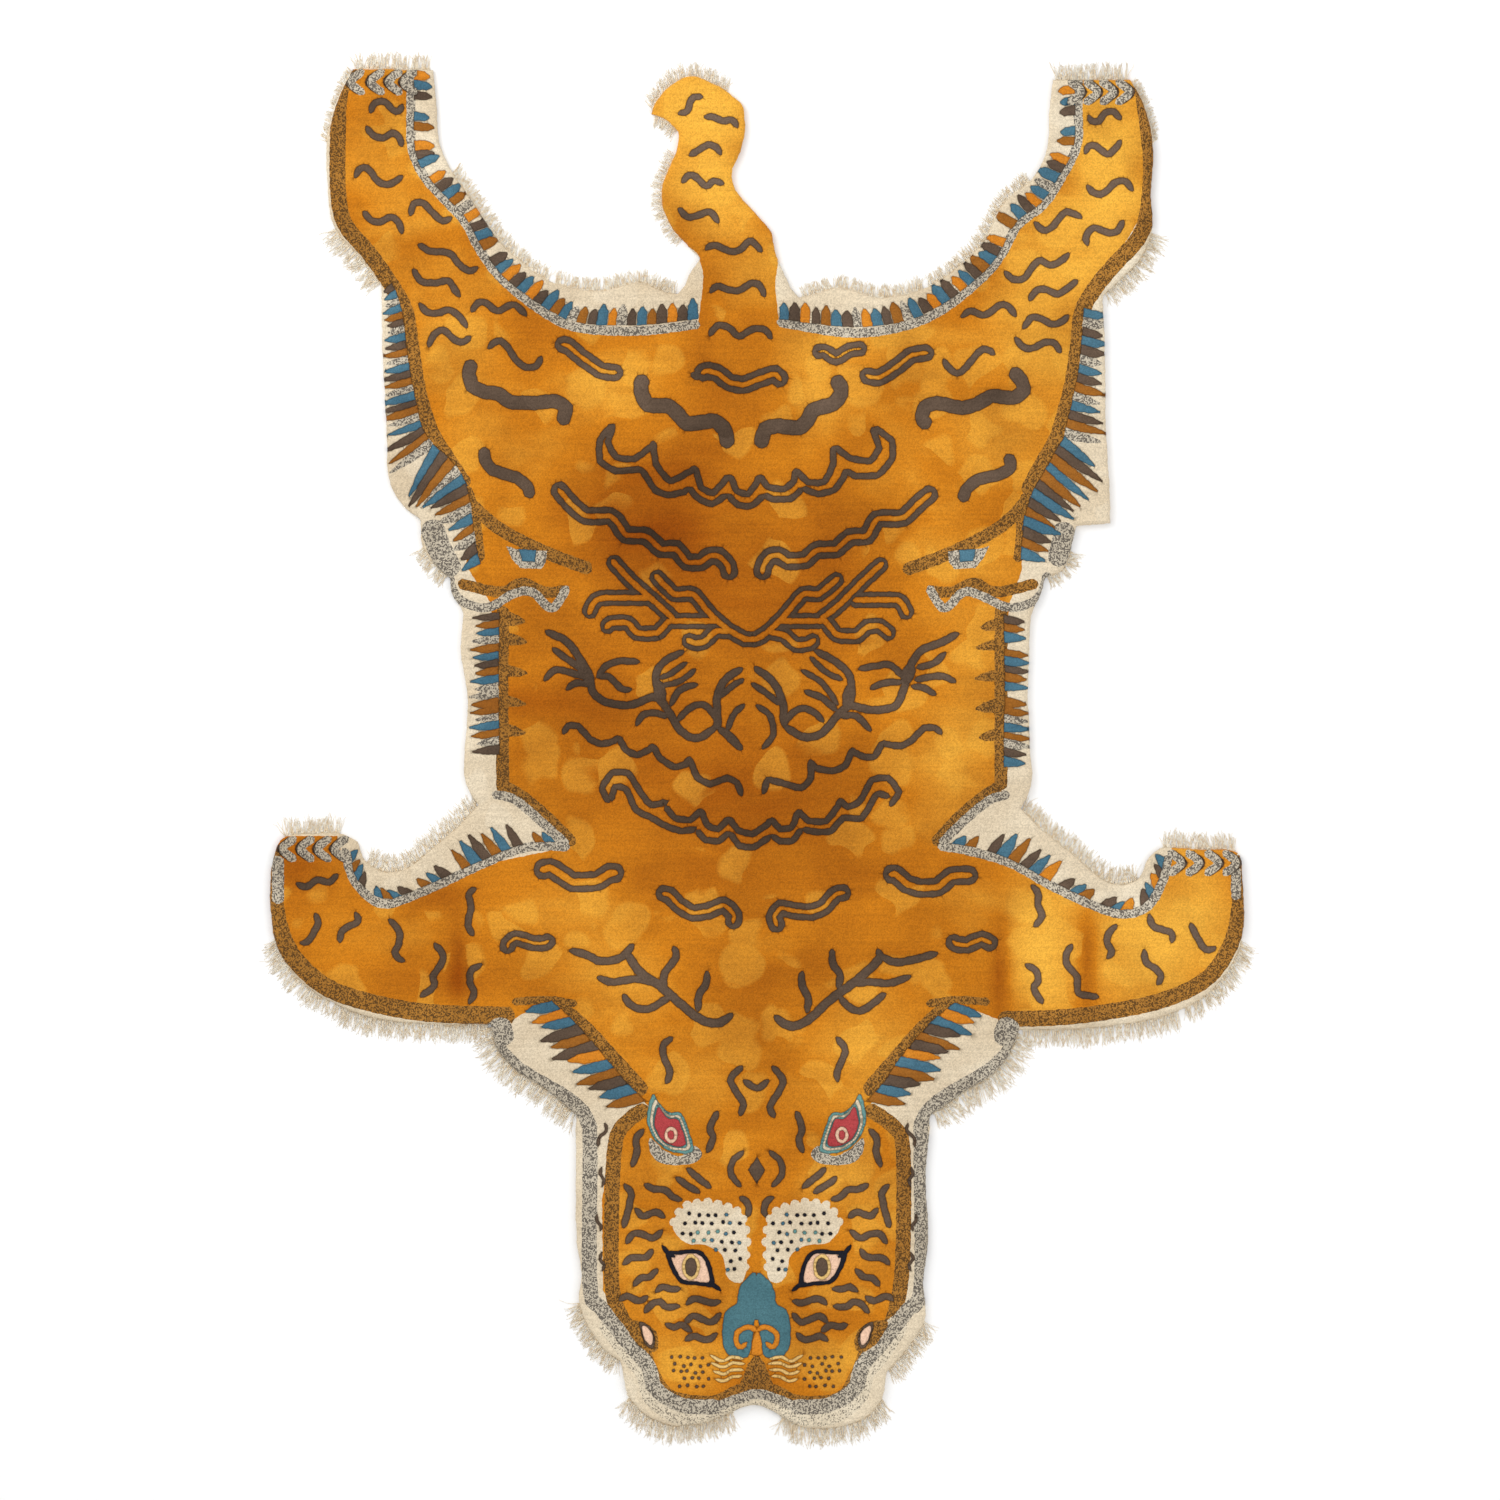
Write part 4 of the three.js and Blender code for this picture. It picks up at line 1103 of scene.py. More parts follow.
def rug_shapes():
    """Every shape of the pattern with its yarn, from the ground up."""
    claws = [shape for x, y, side in CLAWS for shape in claw(x, y, side)]
    ground = field() + bands() + tufts() + claws
    back = back_lines() + bars() + cloud() + flames_and_branches() + flank_eyes()
    return ground + stripes() + back + head()


def inside(points, loop):
    """Whether each point lies in a closed shape, by the turns that the shape makes round it."""
    turns = np.zeros(len(points), int)
    near = np.flatnonzero(((points >= loop.min(0)) & (points <= loop.max(0))).all(1))
    ends = np.roll(loop, -1, 0)
    step_x, step_y = (ends - loop).T
    for part in np.array_split(near, len(near) * len(loop) // 2_000_000 + 1):
        x, y = points[part].T[:, :, None]
        side = step_x * (y - loop[:, 1]) - (x - loop[:, 0]) * step_y
        up = (loop[:, 1] <= y) & (ends[:, 1] > y) & (side > 0)
        down = (loop[:, 1] > y) & (ends[:, 1] <= y) & (side < 0)
        turns[part] = up.sum(1) - down.sum(1)
    return turns != 0


def solid_edge():
    """The edge of the solid's flat underside, in order round the rug."""
    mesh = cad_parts["rug_cloth"].data
    steps = set()
    places = {}
    for face in mesh.polygons:
        corners = [mesh.vertices[i].co for i in face.vertices]
        if max(corner.z for corner in corners) > FLAT:
            continue
        keys = [(round(corner.x / MM, 2), round(corner.y / MM, 2)) for corner in corners]
        places.update(zip(keys, [(corner.x, corner.y) for corner in corners]))
        steps.update(zip(keys, keys[1:] + keys[:1]))
    following = {a: b for a, b in steps if (b, a) not in steps}
    key = min(following)
    loop = []
    while not loop or key != loop[0]:
        loop.append(key)
        key = following[key]
    points = np.array([places[key] for key in loop])
    x, y = points.T
    area = np.sum(x * np.roll(y, -1) - y * np.roll(x, -1))
    return points if area > 0 else points[::-1]


def gentle_waves(at, wave_lengths, seed):
    """An even, never repeating unevenness from -1 to 1 along a length."""
    shift = random.Random(seed)
    waves = [np.sin(2 * math.pi * (at / length + shift.random())) for length in wave_lengths]
    return sum(waves) / len(waves)


def rug_outline():
    """The trimmed edge: the solid's edge drawn as soft curves between its sharp corners."""
    corners = solid_edge()
    to_corner = corners - np.roll(corners, 1, 0)
    from_corner = np.roll(corners, -1, 0) - corners
    turn = np.abs(
        np.arctan2(
            to_corner[:, 0] * from_corner[:, 1] - to_corner[:, 1] * from_corner[:, 0],
            (to_corner * from_corner).sum(1),
        )
    )
    sharp = np.flatnonzero(turn > SHARP_CORNER)
    runs = []
    for start, end in zip(sharp, np.roll(sharp, -1)):
        stretch = np.arange(start, end + 1 + (len(corners) if end <= start else 0)) % len(corners)
        runs.append(smooth_line(corners[stretch], EDGE_STEP)[:-1])
    line = np.vstack(runs)
    trim = gentle_waves(lengths_along(line), (0.011, 0.019, 0.043), SEED)
    return line + sideways(line, True) * trim[:, None] * EDGE_WANDER


class Spread:
    """Points that keep a given distance from each other."""

    def __init__(self, apart):
        self.apart = apart
        self.cells = {}
        self.points = []

    def add(self, point, apart=None):
        """Keeps the point if nothing is nearer than apart."""
        apart = apart or self.apart
        x, y = float(point[0]), float(point[1])
        column, row = math.floor(x / self.apart), math.floor(y / self.apart)
        reach = math.ceil(apart / self.apart)
        for i in range(column - reach, column + reach + 1):
            for j in range(row - reach, row + reach + 1):
                for other_x, other_y in self.cells.get((i, j), ()):
                    if (other_x - x) ** 2 + (other_y - y) ** 2 < apart * apart:
                        return False
        self.force((x, y))
        return True

    def force(self, point):
        """Keeps the point wherever it is."""
        x, y = float(point[0]), float(point[1])
        self.cells.setdefault((math.floor(x / self.apart), math.floor(y / self.apart)), []).append((x, y))
        self.points.append((x, y))


def visible_borders(shapes, outline, edge_gap):
    """The border of each shape as short steps, without those that a later shape covers."""
    loops = []
    for _, loop in shapes:
        wander = gentle_waves(lengths_along(loop), (0.009, 0.016, 0.027), len(loops))
        loops.append(loop + sideways(loop, True) * wander[:, None] * BORDER_WANDER)
    lows = np.array([loop.min(0) for loop in loops])
    highs = np.array([loop.max(0) for loop in loops])
    borders = []
    for number, loop in enumerate(loops):
        ends = np.roll(loop, -1, 0)
        middles = (loop + ends) / 2
        clear = (edge_gap(loop) > EDGE_CLEARANCE) & (edge_gap(ends) > EDGE_CLEARANCE)
        shown = inside(middles, outline) & clear
        over = (lows[number + 1 :] <= highs[number]).all(1) & (highs[number + 1 :] >= lows[number]).all(1)
        for later in np.flatnonzero(over) + number + 1:
            covered = [inside(points, loops[later]) for points in (middles, loop, ends)]
            shown &= ~np.all(covered, axis=0)
        borders.append((loop, shown))
    return loops, borders


def plan_of_pile(outline, shapes, edge_gap):
    """The pile's triangles seen from above, cut along the borders of the shapes, and each one's yarn."""
    loops, borders = visible_borders(shapes, outline, edge_gap)
    spread = Spread(CLOSEST_POINTS)
    for point in outline:
        spread.force(point)
    count = len(outline)
    edges = [(i, (i + 1) % count) for i in range(count)]
    for loop, shown in borders:
        used = np.flatnonzero(shown | np.roll(shown, 1))
        numbers = {}
        for i in used:
            numbers[i] = len(spread.points)
            spread.force(loop[i])
        edges += [(numbers[i], numbers[(i + 1) % len(loop)]) for i in np.flatnonzero(shown)]
    inwards = sideways(outline, True)
    for distance, _ in EDGE_PROFILE[1:]:
        ring = outline + inwards * distance * MM
        for point, gap in zip(ring, edge_gap(ring)):
            if gap > 0.93 * distance * MM:
                spread.add(point, CLOSEST_AT_EDGE if distance < 2 else CLOSEST_POINTS)
    for loop, shown in borders:
        ends = np.roll(loop, -1, 0)
        across = sideways(loop, True) * BESIDE_BORDER
        middles = ((loop + ends) / 2)[shown]
        beside = np.vstack([middles + across[shown], middles - across[shown]])
        beside = beside[inside(beside, outline)] if len(beside) else beside
        for point, gap in zip(beside, edge_gap(beside)):
            if gap > BESIDE_CLEARANCE:
                spread.add(point)
    chance = np.random.default_rng(SEED)
    low, high = outline.min(0), outline.max(0)
    columns, rows = np.meshgrid(np.arange(low[0], high[0], GRID_STEP), np.arange(low[1], high[1], GRID_STEP))
    grid = np.column_stack([columns.ravel(), rows.ravel()])
    grid += (chance.random(grid.shape) - 0.5) * GRID_STEP * 0.5
    grid = grid[inside(grid, outline)]
    for point, gap in zip(grid, edge_gap(grid)):
        if gap > GRID_CLEARANCE:
            spread.add(point, 0.5 * GRID_STEP)
    found = delaunay_2d_cdt([Vector(p) for p in spread.points], edges, [], 0, 1e-6, False)
    points = np.array([tuple(p) for p in found[0]])
    faces = np.array(found[2])
    centres = points[faces].mean(1)
    kept = inside(centres, outline)
    faces, centres = faces[kept], centres[kept]
    yarn = np.zeros(len(faces), int)
    for (name, _), loop in zip(shapes, loops):
        yarn[inside(centres, loop)] = YARN_ORDER.index(name)
    return points, faces, yarn


def fold_height(points):
    """How far the creases and swells lift the cloth."""
    height = np.zeros(len(points))
    for _, start, end, half_width, rise in FOLDS:
        a, b = on_cloth([start, end])
        along = b - a
        share = np.clip(((points - a) @ along) / (along @ along), 0, 1)
        gap = np.linalg.norm(points - a - share[:, None] * along, axis=1)
        height += rise * MM * np.cos(np.clip(gap / (half_width * MM), 0, 1) * math.pi / 2) ** 2
    return height


def carving(points, faces, yarn):
    """How deeply the pile is cut at each point, from 0 to 1: fully along the dark and blue shapes."""
    lowest = np.full(len(points), len(YARN_ORDER))
    highest = np.full(len(points), -1)
    crisp = np.zeros(len(points), bool)
    is_crisp = np.array([name in CRISP_YARNS for name in YARN_ORDER])
    for corner in range(3):
        np.minimum.at(lowest, faces[:, corner], yarn)
        np.maximum.at(highest, faces[:, corner], yarn)
        np.logical_or.at(crisp, faces[:, corner], is_crisp[yarn])
    return np.where(lowest < highest, np.where(crisp, 1.0, SOFT_CARVE_DEPTH / CARVE_DEPTH), 0.0)


def pile_height(points, carved, edge_gap):
    """The height of the pile's upper side."""
    gap = edge_gap(points) / MM
    distances, heights = zip(*EDGE_PROFILE)
    height = np.interp(gap, distances, heights) * MM
    inner = np.clip(gap / EDGE_PROFILE[-1][0], 0, 1)
    x, y = points.T
    wave = gentle_waves(x + 0.4 * y, (0.052, 0.083, 0.031), 3)
    wave = wave * gentle_waves(y - 0.3 * x, (0.061, 0.094, 0.037), 4)
    return height + inner * (fold_height(points) + PILE_WAVE * wave - CARVE_DEPTH * carved)


def rim_of(faces):
    """The steps of the faces' outer edge, each from one point to the next."""
    steps = np.vstack([faces[:, [0, 1]], faces[:, [1, 2]], faces[:, [2, 0]]])
    known = set(map(tuple, steps))
    owner = {tuple(step): number % len(faces) for number, step in enumerate(steps)}
    return [(a, b, owner[(a, b)]) for a, b in known if (b, a) not in known]


def place_object(name, data):
    """An object of the given mesh, lamp or camera in the scene."""
    made = bpy.data.objects.new(name, data)
    bpy.context.scene.collection.objects.link(made)
    return made


def keep_values(mesh, name, values):
    """Keeps a number for each corner, for the finish to read."""
    mesh.attributes.new(name, "FLOAT", "POINT").data.foreach_set("value", values.astype(np.float32))


def build_rug(outline, edge_gap):
    """The knotted cloth: a carved pile, a trimmed wall round it and a flat woven back."""
    points, faces, yarn = plan_of_pile(outline, rug_shapes(), edge_gap)
    carved = carving(points, faces, yarn)
    height = pile_height(points, carved, edge_gap)
    rim = rim_of(faces)
    followed = {a: b for a, b, _ in rim}
    on_floor = {a: len(points) + i for i, a in enumerate(followed)}
    rim_points = [Vector(points[a]) for a in followed]
    place = {a: i for i, a in enumerate(followed)}
    steps = [(place[a], place[b]) for a, b in followed.items()]
    back = delaunay_2d_cdt(rim_points, steps, [], 0, 1e-7, False)
    back_faces = np.array(back[2])
    centres = np.array([tuple(p) for p in back[0]])[back_faces].mean(1)
    back_faces = back_faces[inside(centres, outline)] + len(points)
    wall = [(on_floor[a], on_floor[b], b) for a, b, _ in rim] + [(on_floor[a], b, a) for a, b, _ in rim]
    wall_yarn = [yarn[owner] for _, _, owner in rim] * 2
    floor_points = np.array([points[a] for a in followed])
    upper = np.column_stack([points, height])
    corners = np.vstack([upper, np.column_stack([floor_points, np.zeros(len(rim))])])
    triangles = np.vstack([faces, np.array(wall), back_faces[:, ::-1]])
    mesh = bpy.data.meshes.new("rug")
    mesh.from_pydata(corners.tolist(), [], triangles.tolist())
    for name in YARN_ORDER:
        mesh.materials.append(wool(name))
    mesh.materials.append(woven_back())
    slots = np.concatenate([yarn, wall_yarn, np.full(len(back_faces), len(YARN_ORDER))])
    mesh.polygons.foreach_set("material_index", slots.astype(np.int32))
    smooth = np.arange(len(triangles)) < len(faces) + len(wall)
    mesh.polygons.foreach_set("use_smooth", smooth)
    # The finish paints shade into the carved lines by this depth.
    keep_values(mesh, "carved", np.concatenate([carved, np.zeros(len(rim))]))
    # The wool's paleness, from its dye and from painted shade along the creases and painted light and shade
    # of the nap.
    keep_values(mesh, "dye", np.concatenate([dye_and_shade_at(points), dye_and_shade_at(floor_points)]))
    lay_out(mesh, corners, triangles, len(faces), len(back_faces))
    mesh.validate()
    mesh.update()
    return place_object("rug", mesh)


def dye_and_shade_at(points):
    """How pale the wool is at each point, from -1 to 1: its dye, with painted shade along the creases and
    painted light and shade of the nap.
    """
    dye = np.zeros(len(points))
    for place, across, down, amount in DYE_AND_SHADE:
        off = (points - on_cloth([place])) / (np.array([across, down]) * PIXEL)
        dye += amount * np.exp(-(off**2).sum(1))
    return np.clip(dye, -1, 1)


def lay_out(mesh, corners, triangles, top_count, back_count):
    """The map for the finish: the pile as seen from above, and the back beside it at a smaller scale."""
    low, high = corners.min(0), corners.max(0)
    scale = MAP_SHARE / (high[1] - low[1])
    seen = (corners[triangles][:, :, :2] - low[:2]) * scale + MAP_MARGIN
    wall = slice(top_count, len(triangles) - back_count)
    middle = (low + high)[:2] / 2
    lowered = corners[triangles[wall]][:, :, 2] < 0.1 * MM
    outwards = corners[triangles[wall]][:, :, :2] - middle
    outwards /= np.linalg.norm(outwards, axis=2, keepdims=True)
    seen[wall] += outwards * (lowered * WALL_ON_MAP * scale)[:, :, None]
    back = slice(len(triangles) - back_count, None)
    seen[back] *= BACK_MAP_SHARE
    seen[back] += (1 - BACK_MAP_SHARE * (high[0] - low[0]) * scale - 2 * MAP_MARGIN, 0)
    layer = mesh.uv_layers.new(name="OFBake")
    layer.data.foreach_set("uv", seen.reshape(-1).astype(np.float32))


class Tree:
    """A short way to place shader nodes and join them."""

    def __init__(self, tree):
        self.nodes = tree.nodes
        self.links = tree.links

    def add(self, kind, settings=(), **inputs):
        """Adds a node with its settings and inputs."""
        node = self.nodes.new("ShaderNode" + kind)
        for name, value in dict(settings).items():
            setattr(node, name, value)
        self.feed_all(node.inputs, inputs)
        return node

    def feed_all(self, sockets, values):
        """Feeds sockets by name, spaces written as underscores, or by number, as in i0."""
        for name, value in values.items():
            key = int(name[1:]) if name[0] == "i" and name[1:].isdigit() else name.replace("_", " ")
            self.feed(sockets[key], value)

    def feed(self, socket, value):
        if isinstance(value, bpy.types.NodeSocket):
            self.links.new(value, socket)
        else:
            socket.default_value = value

    def math(self, operation, *values, clamp=False):
        node = self.nodes.new("ShaderNodeMath")
        node.operation = operation
        node.use_clamp = clamp
        for socket, value in zip(node.inputs, values):
            self.feed(socket, value)
        return node.outputs[0]

    def shifted(self, place, bend, distance):
        """The place moved along a bend's three numbers by up to a distance."""
        reach = (distance,) * 3
        return self.add("VectorMath", {"operation": "MULTIPLY_ADD"}, i0=bend, i1=reach, i2=place).outputs[0]

    def mix(self, share, first, second):
        """Mixes two colours."""
        node = self.nodes.new("ShaderNodeMix")
        node.data_type = "RGBA"
        self.feed(node.inputs[0], share)
        self.feed(node.inputs[6], first)
        self.feed(node.inputs[7], second)
        return node.outputs[2]

    def between(self, value, low, high, to_low=0.0, to_high=1.0):
        node = self.nodes.new("ShaderNodeMapRange")
        for socket, number in zip(node.inputs, (value, low, high, to_low, to_high)):
            self.feed(socket, number)
        return node.outputs[0]


def new_group(name, takes, gives):
    """A shader group whose named inputs and outputs are numbers, and a Tree to fill it."""
    group = bpy.data.node_groups.new(name, "ShaderNodeTree")
    for socket, value in takes.items():
        made = group.interface.new_socket(socket, in_out="INPUT", socket_type="NodeSocketFloat")
        made.default_value = value
    for socket in gives:
        group.interface.new_socket(socket, in_out="OUTPUT", socket_type="NodeSocketFloat")
    tree = Tree(group)
    return group, tree, tree.nodes.new("NodeGroupInput"), tree.nodes.new("NodeGroupOutput")


def sRGB(red, green, blue):
    """A screen colour, 0 to 255, in the shader's own linear light."""
    parts = [part / 255 for part in (red, green, blue)]
    return (*((part / 12.92) if part <= 10 / 255 else ((part + 0.055) / 1.055) ** 2.4 for part in parts), 1.0)


def knot_group():
    """Single knots: a random number for each, its rounded relief and the fine hair between."""
    group, tree, takes, gives = new_group(
        "knots", {"Knot size": KNOT_SIZE, "Tuft softness": 0.5}, ("Number", "Second number", "Relief", "Hair")
    )
    place = tree.add("TexCoord").outputs["Object"]
    rows = tree.math("DIVIDE", 1.0, takes.outputs["Knot size"])
    bent = tree.add("TexNoise", Vector=place, Scale=KNOT_STRAY_SCALE, Detail=2.0).outputs["Color"]
    moved = tree.shifted(place, bent, KNOT_STRAY)
    cells = tree.add("TexVoronoi", {"feature": "F1"}, Vector=moved, Scale=rows, Randomness=KNOT_RANDOMNESS)
    split = tree.add("SeparateColor", i0=cells.outputs["Color"])
    relief = tree.math("SUBTRACT", 1.0, cells.outputs["Distance"], clamp=True)
    hair = tree.add("TexNoise", Vector=place, Scale=HAIR_SCALE, Detail=4.0, Roughness=0.7).outputs["Fac"]
    softened = tree.math("MULTIPLY_ADD", hair, takes.outputs["Tuft softness"], relief)
    found = {"Number": split.outputs[0], "Second number": split.outputs[1], "Relief": softened, "Hair": hair}
    tree.feed_all(gives.inputs, found)
    return group


def abrash_and_painted_light_group():
    """The cloth's slow changes: its dye with the dye table's painted light and shade in it, paler rounded
    lobes of painted nap light, the painted shade of the nap, and wefts that show.
    """
    given = ("Dye", "Lobes", "Nap", "Wefts")
    group, tree, takes, gives = new_group("abrash and painted light and shade", {"Lobe size": LOBE_SIZE}, given)
    place = tree.add("TexCoord").outputs["Object"]
    # The same paleness, dye with painted light and shade, with abrash clouds laid over it.
    dye_and_shade_in = tree.add("Attribute", {"attribute_name": "dye"}).outputs["Fac"]
    wide = tree.add("Mapping", Vector=place, Scale=CLOUD_STRETCH).outputs[0]
    clouds = tree.add("TexNoise", Vector=wide, Scale=1.0, Detail=3.0, Distortion=0.6).outputs["Fac"]
    spread = tree.math("MULTIPLY_ADD", tree.math("SUBTRACT", clouds, 0.5), DYE_CLOUDS * 2, dye_and_shade_in)
    dye = tree.math("MULTIPLY_ADD", spread, 0.5, 0.5, clamp=True)
    # Paler rounded lobes of painted nap light, more of them where the wool is pale.
    finer = tree.math("DIVIDE", 1.0, takes.outputs["Lobe size"])
    bend = tree.add("TexNoise", Vector=place, Scale=LOBE_BEND_SCALE, Detail=1.0).outputs["Color"]
    moved = tree.shifted(place, bend, LOBE_BEND)
    cells = tree.add("TexVoronoi", {"feature": "F1"}, Vector=moved, Scale=finer)
    chosen = tree.math("SUBTRACT", dye, tree.add("SeparateColor", i0=cells.outputs["Color"]).outputs[0])
    round_lobe = tree.between(cells.outputs["Distance"], *LOBE_RIM)
    light_lobes = tree.math("MULTIPLY", round_lobe, tree.between(chosen, *LOBE_CHOICE))
    # Painted shade of the nap, less of it where the wool is pale.
    coarser = tree.math("MULTIPLY", finer, 0.5)
    nap = tree.add("TexNoise", Vector=moved, Scale=coarser, Detail=3.0).outputs["Fac"]
    deepened = tree.math("SUBTRACT", nap, tree.math("MULTIPLY", dye, NAP_SHADE_IN_PALE))
    streaks = tree.add("Mapping", Vector=place, Scale=WEFT_STRETCH).outputs[0]
    wefts = tree.add("TexNoise", Vector=streaks, Scale=1.0, Detail=2.0).outputs["Fac"]
    nap_shade_shown = tree.between(deepened, *NAP_SHADE_RANGE)
    wefts_shown = tree.between(wefts, *WEFT_RANGE)
    tree.feed_all(gives.inputs, {"Dye": dye, "Lobes": light_lobes, "Nap": nap_shade_shown, "Wefts": wefts_shown})
    return group


def groove_shade_group():
    """Painted shade in the carved lines: how far a point lies down in one, softened by the pile that leans
    over it.
    """
    group, tree, takes, gives = new_group("painted groove shade", {"Shade": 1.0}, ("Groove shade",))
    depth = tree.add("Attribute", {"attribute_name": "carved"}).outputs["Fac"]
    line = tree.between(depth, *CARVED_RANGE)
    tree.feed(gives.inputs["Groove shade"], tree.math("MULTIPLY", line, takes.outputs["Shade"]))
    return group


def use(tree, group, **values):
    """Places a shader group with its own values."""
    node = tree.add("Group")
    node.node_tree = group
    tree.feed_all(node.inputs, values)
    return node.outputs


def new_material(name):
    material = bpy.data.materials.new(name)
    material.use_nodes = True
    tree = Tree(material.node_tree)
    shader = next(node for node in tree.nodes if node.type == "BSDF_PRINCIPLED")
    return material, tree, shader


def surface(tree, shader, colour, hair, roughness, relief, strength, depth):
    """Gives a material its colour, a roughness that varies with the hair, and its relief."""
    bump = tree.add("Bump", Strength=strength, Distance=depth, Height=relief).outputs[0]
    roughened = tree.between(hair, *HAIR_RANGE, *roughness)
    tree.feed_all(shader.inputs, {"Base Color": colour, "Roughness": roughened, "Normal": bump})


def dyed_and_shaded(tree, looks):
    """The colour of a yarn: single knots, with the cloth's slow changes over them, painted light and shade of
    the nap and creases among them, and painted shade in the carved lines.
    """
    knots = use(tree, GROUPS["knots"], Knot_size=KNOT_SIZE, Tuft_softness=0.5)
    slow = use(tree, GROUPS["abrash_and_painted_light"], Lobe_size=LOBE_SIZE)
    deep, pale = sRGB(*looks["deep"]), sRGB(*looks["pale"])
    between = tuple((a + b) / 2 for a, b in zip(deep, pale))
    middle = sRGB(*looks["middle"]) if "middle" in looks else between
    # The tone runs from deep to pale with the dye and the painted light and shade of the creases and nap.
    tone = tree.mix(tree.between(slow["Dye"], 0.0, 0.5), deep, middle)
    tone = tree.mix(tree.between(slow["Dye"], 0.5, 1.0), tone, pale)
    # Painted light of the nap's lobes.
    lobe_lit = tree.mix(tree.math("MULTIPLY", slow["Lobes"], looks["lobe"]), tone, pale)
    # Painted shade of the nap.
    nap = tree.mix(tree.math("MULTIPLY", slow["Nap"], looks["nap"]), lobe_lit, sRGB(*looks["nap_shade"]))
    fleck = tree.math("LESS_THAN", knots["Second number"], looks["fleck_share"])
    flecked = tree.mix(tree.math("MULTIPLY", fleck, looks["fleck_mix"]), nap, sRGB(*looks["fleck"]))
    weft = tree.math("MULTIPLY_ADD", slow["Wefts"], WEFT_SHADE, 1.0 + looks["grain"] * -0.5)
    light = tree.math("MULTIPLY_ADD", knots["Number"], looks["grain"], weft)
    lit = tree.add("VectorMath", {"operation": "SCALE"}, i0=flecked, Scale=light).outputs[0]
    # Painted shade in the carved lines, towards a dark copy of the yarn's deep colour.
    groove_shade = use(tree, GROUPS["carved"], Shade=looks["groove_shade"])
    dark = (*(part * CARVED_SHADE for part in deep[:3]), 1.0)
    return tree.mix(groove_shade["Groove shade"], lit, dark), knots, slow


def wool(name):
    """The cut pile of one yarn."""
    looks = {**PLAIN_WOOL, **YARNS[name]}
    material, tree, shader = new_material("wool_" + name)
    colour, knots, slow = dyed_and_shaded(tree, looks)
    relief = tree.math("MULTIPLY_ADD", slow["Nap"], -0.5, knots["Relief"])
    surface(tree, shader, colour, knots["Hair"], (0.86, 0.98), relief, looks["bump"], 1.0 * MM)
    shader.inputs["Sheen Weight"].default_value = WOOL_SHEEN
    shader.inputs["Sheen Roughness"].default_value = 0.5
    shader.inputs["Specular IOR Level"].default_value = WOOL_SPECULAR
    return material


def woven_back():
    """The underside, where the wool loops show between rows of cotton weft."""
    material, tree, shader = new_material("woven_back")
    place = tree.add("TexCoord").outputs["Object"]
    knots = use(tree, GROUPS["knots"], Knot_size=KNOT_SIZE, Tuft_softness=0.2)
    rows = 1 / (KNOT_SIZE * RIB_TURN)
    wave = tree.add("TexWave", {"bands_direction": "Y"}, Vector=place, Scale=rows, Distortion=0.6)
    loops = tree.mix(knots["Number"], sRGB(176, 112, 40), sRGB(214, 178, 128))
    colour = tree.mix(wave.outputs["Fac"], loops, sRGB(206, 190, 160))
    relief = tree.math("MULTIPLY_ADD", wave.outputs["Fac"], 0.6, knots["Relief"])
    surface(tree, shader, colour, knots["Hair"], (0.85, 0.97), relief, 0.5, 0.8 * MM)
    return material


def cotton():
    """The undyed warp of the fringe, with its spun streaks and faint brownish blotches of painted shade among
    the strands.
    """
    material, tree, shader = new_material("cotton_warp_ends")
    place = tree.add("TexCoord").outputs["Object"]
    knots = use(tree, GROUPS["knots"], Knot_size=COTTON_CELL, Tuft_softness=0.6)
    # Faint brownish blotches of painted shade among the strands.
    strand_shade = tree.add("TexNoise", Vector=place, Scale=STRAND_SHADE_SCALE, Detail=3.0).outputs["Fac"]
    tone = tree.mix(knots["Number"], sRGB(232, 210, 174), sRGB(255, 249, 234))
    colour = tree.mix(tree.between(strand_shade, 0.5, 0.8, 0.0, 0.2), tone, sRGB(188, 162, 122))
    surface(tree, shader, colour, knots["Hair"], (0.8, 0.95), knots["Relief"], 0.4, 0.3 * MM)
    shader.inputs["Sheen Weight"].default_value = COTTON_SHEEN
    return material


def run_surfaces():
    """Each run of fringe in the solids, by name, as a surface to measure from."""
    surfaces = {}
    for name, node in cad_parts.items():
        if name.startswith("fringe_"):
            corners = [v.co.copy() for v in node.data.vertices]
            surfaces[name] = BVHTree.FromPolygons(corners, [tuple(p.vertices) for p in node.data.polygons])
    return surfaces


def edge_runs(outline):
    """The stretch of edge along each run of fringe, as positions in the outline."""
    runs = {}
    for name, surface in run_surfaces().items():
        near = []
        for number, point in enumerate(outline):
            found = surface.find_nearest(Vector((*point, 0.5 * MM)), RUN_REACH)
            if found[0] is not None:
                near.append(number)
        runs[name] = in_order(near, len(outline))
    return runs


def in_order(numbers, count):
    """Positions round a closed edge from a run's first to its last, also across the edge's start."""
    gaps = [(later - earlier) % count for earlier, later in zip(numbers, numbers[1:] + numbers[:1])]
    start = (gaps.index(max(gaps)) + 1) % len(numbers)
    return numbers[start:] + numbers[:start]


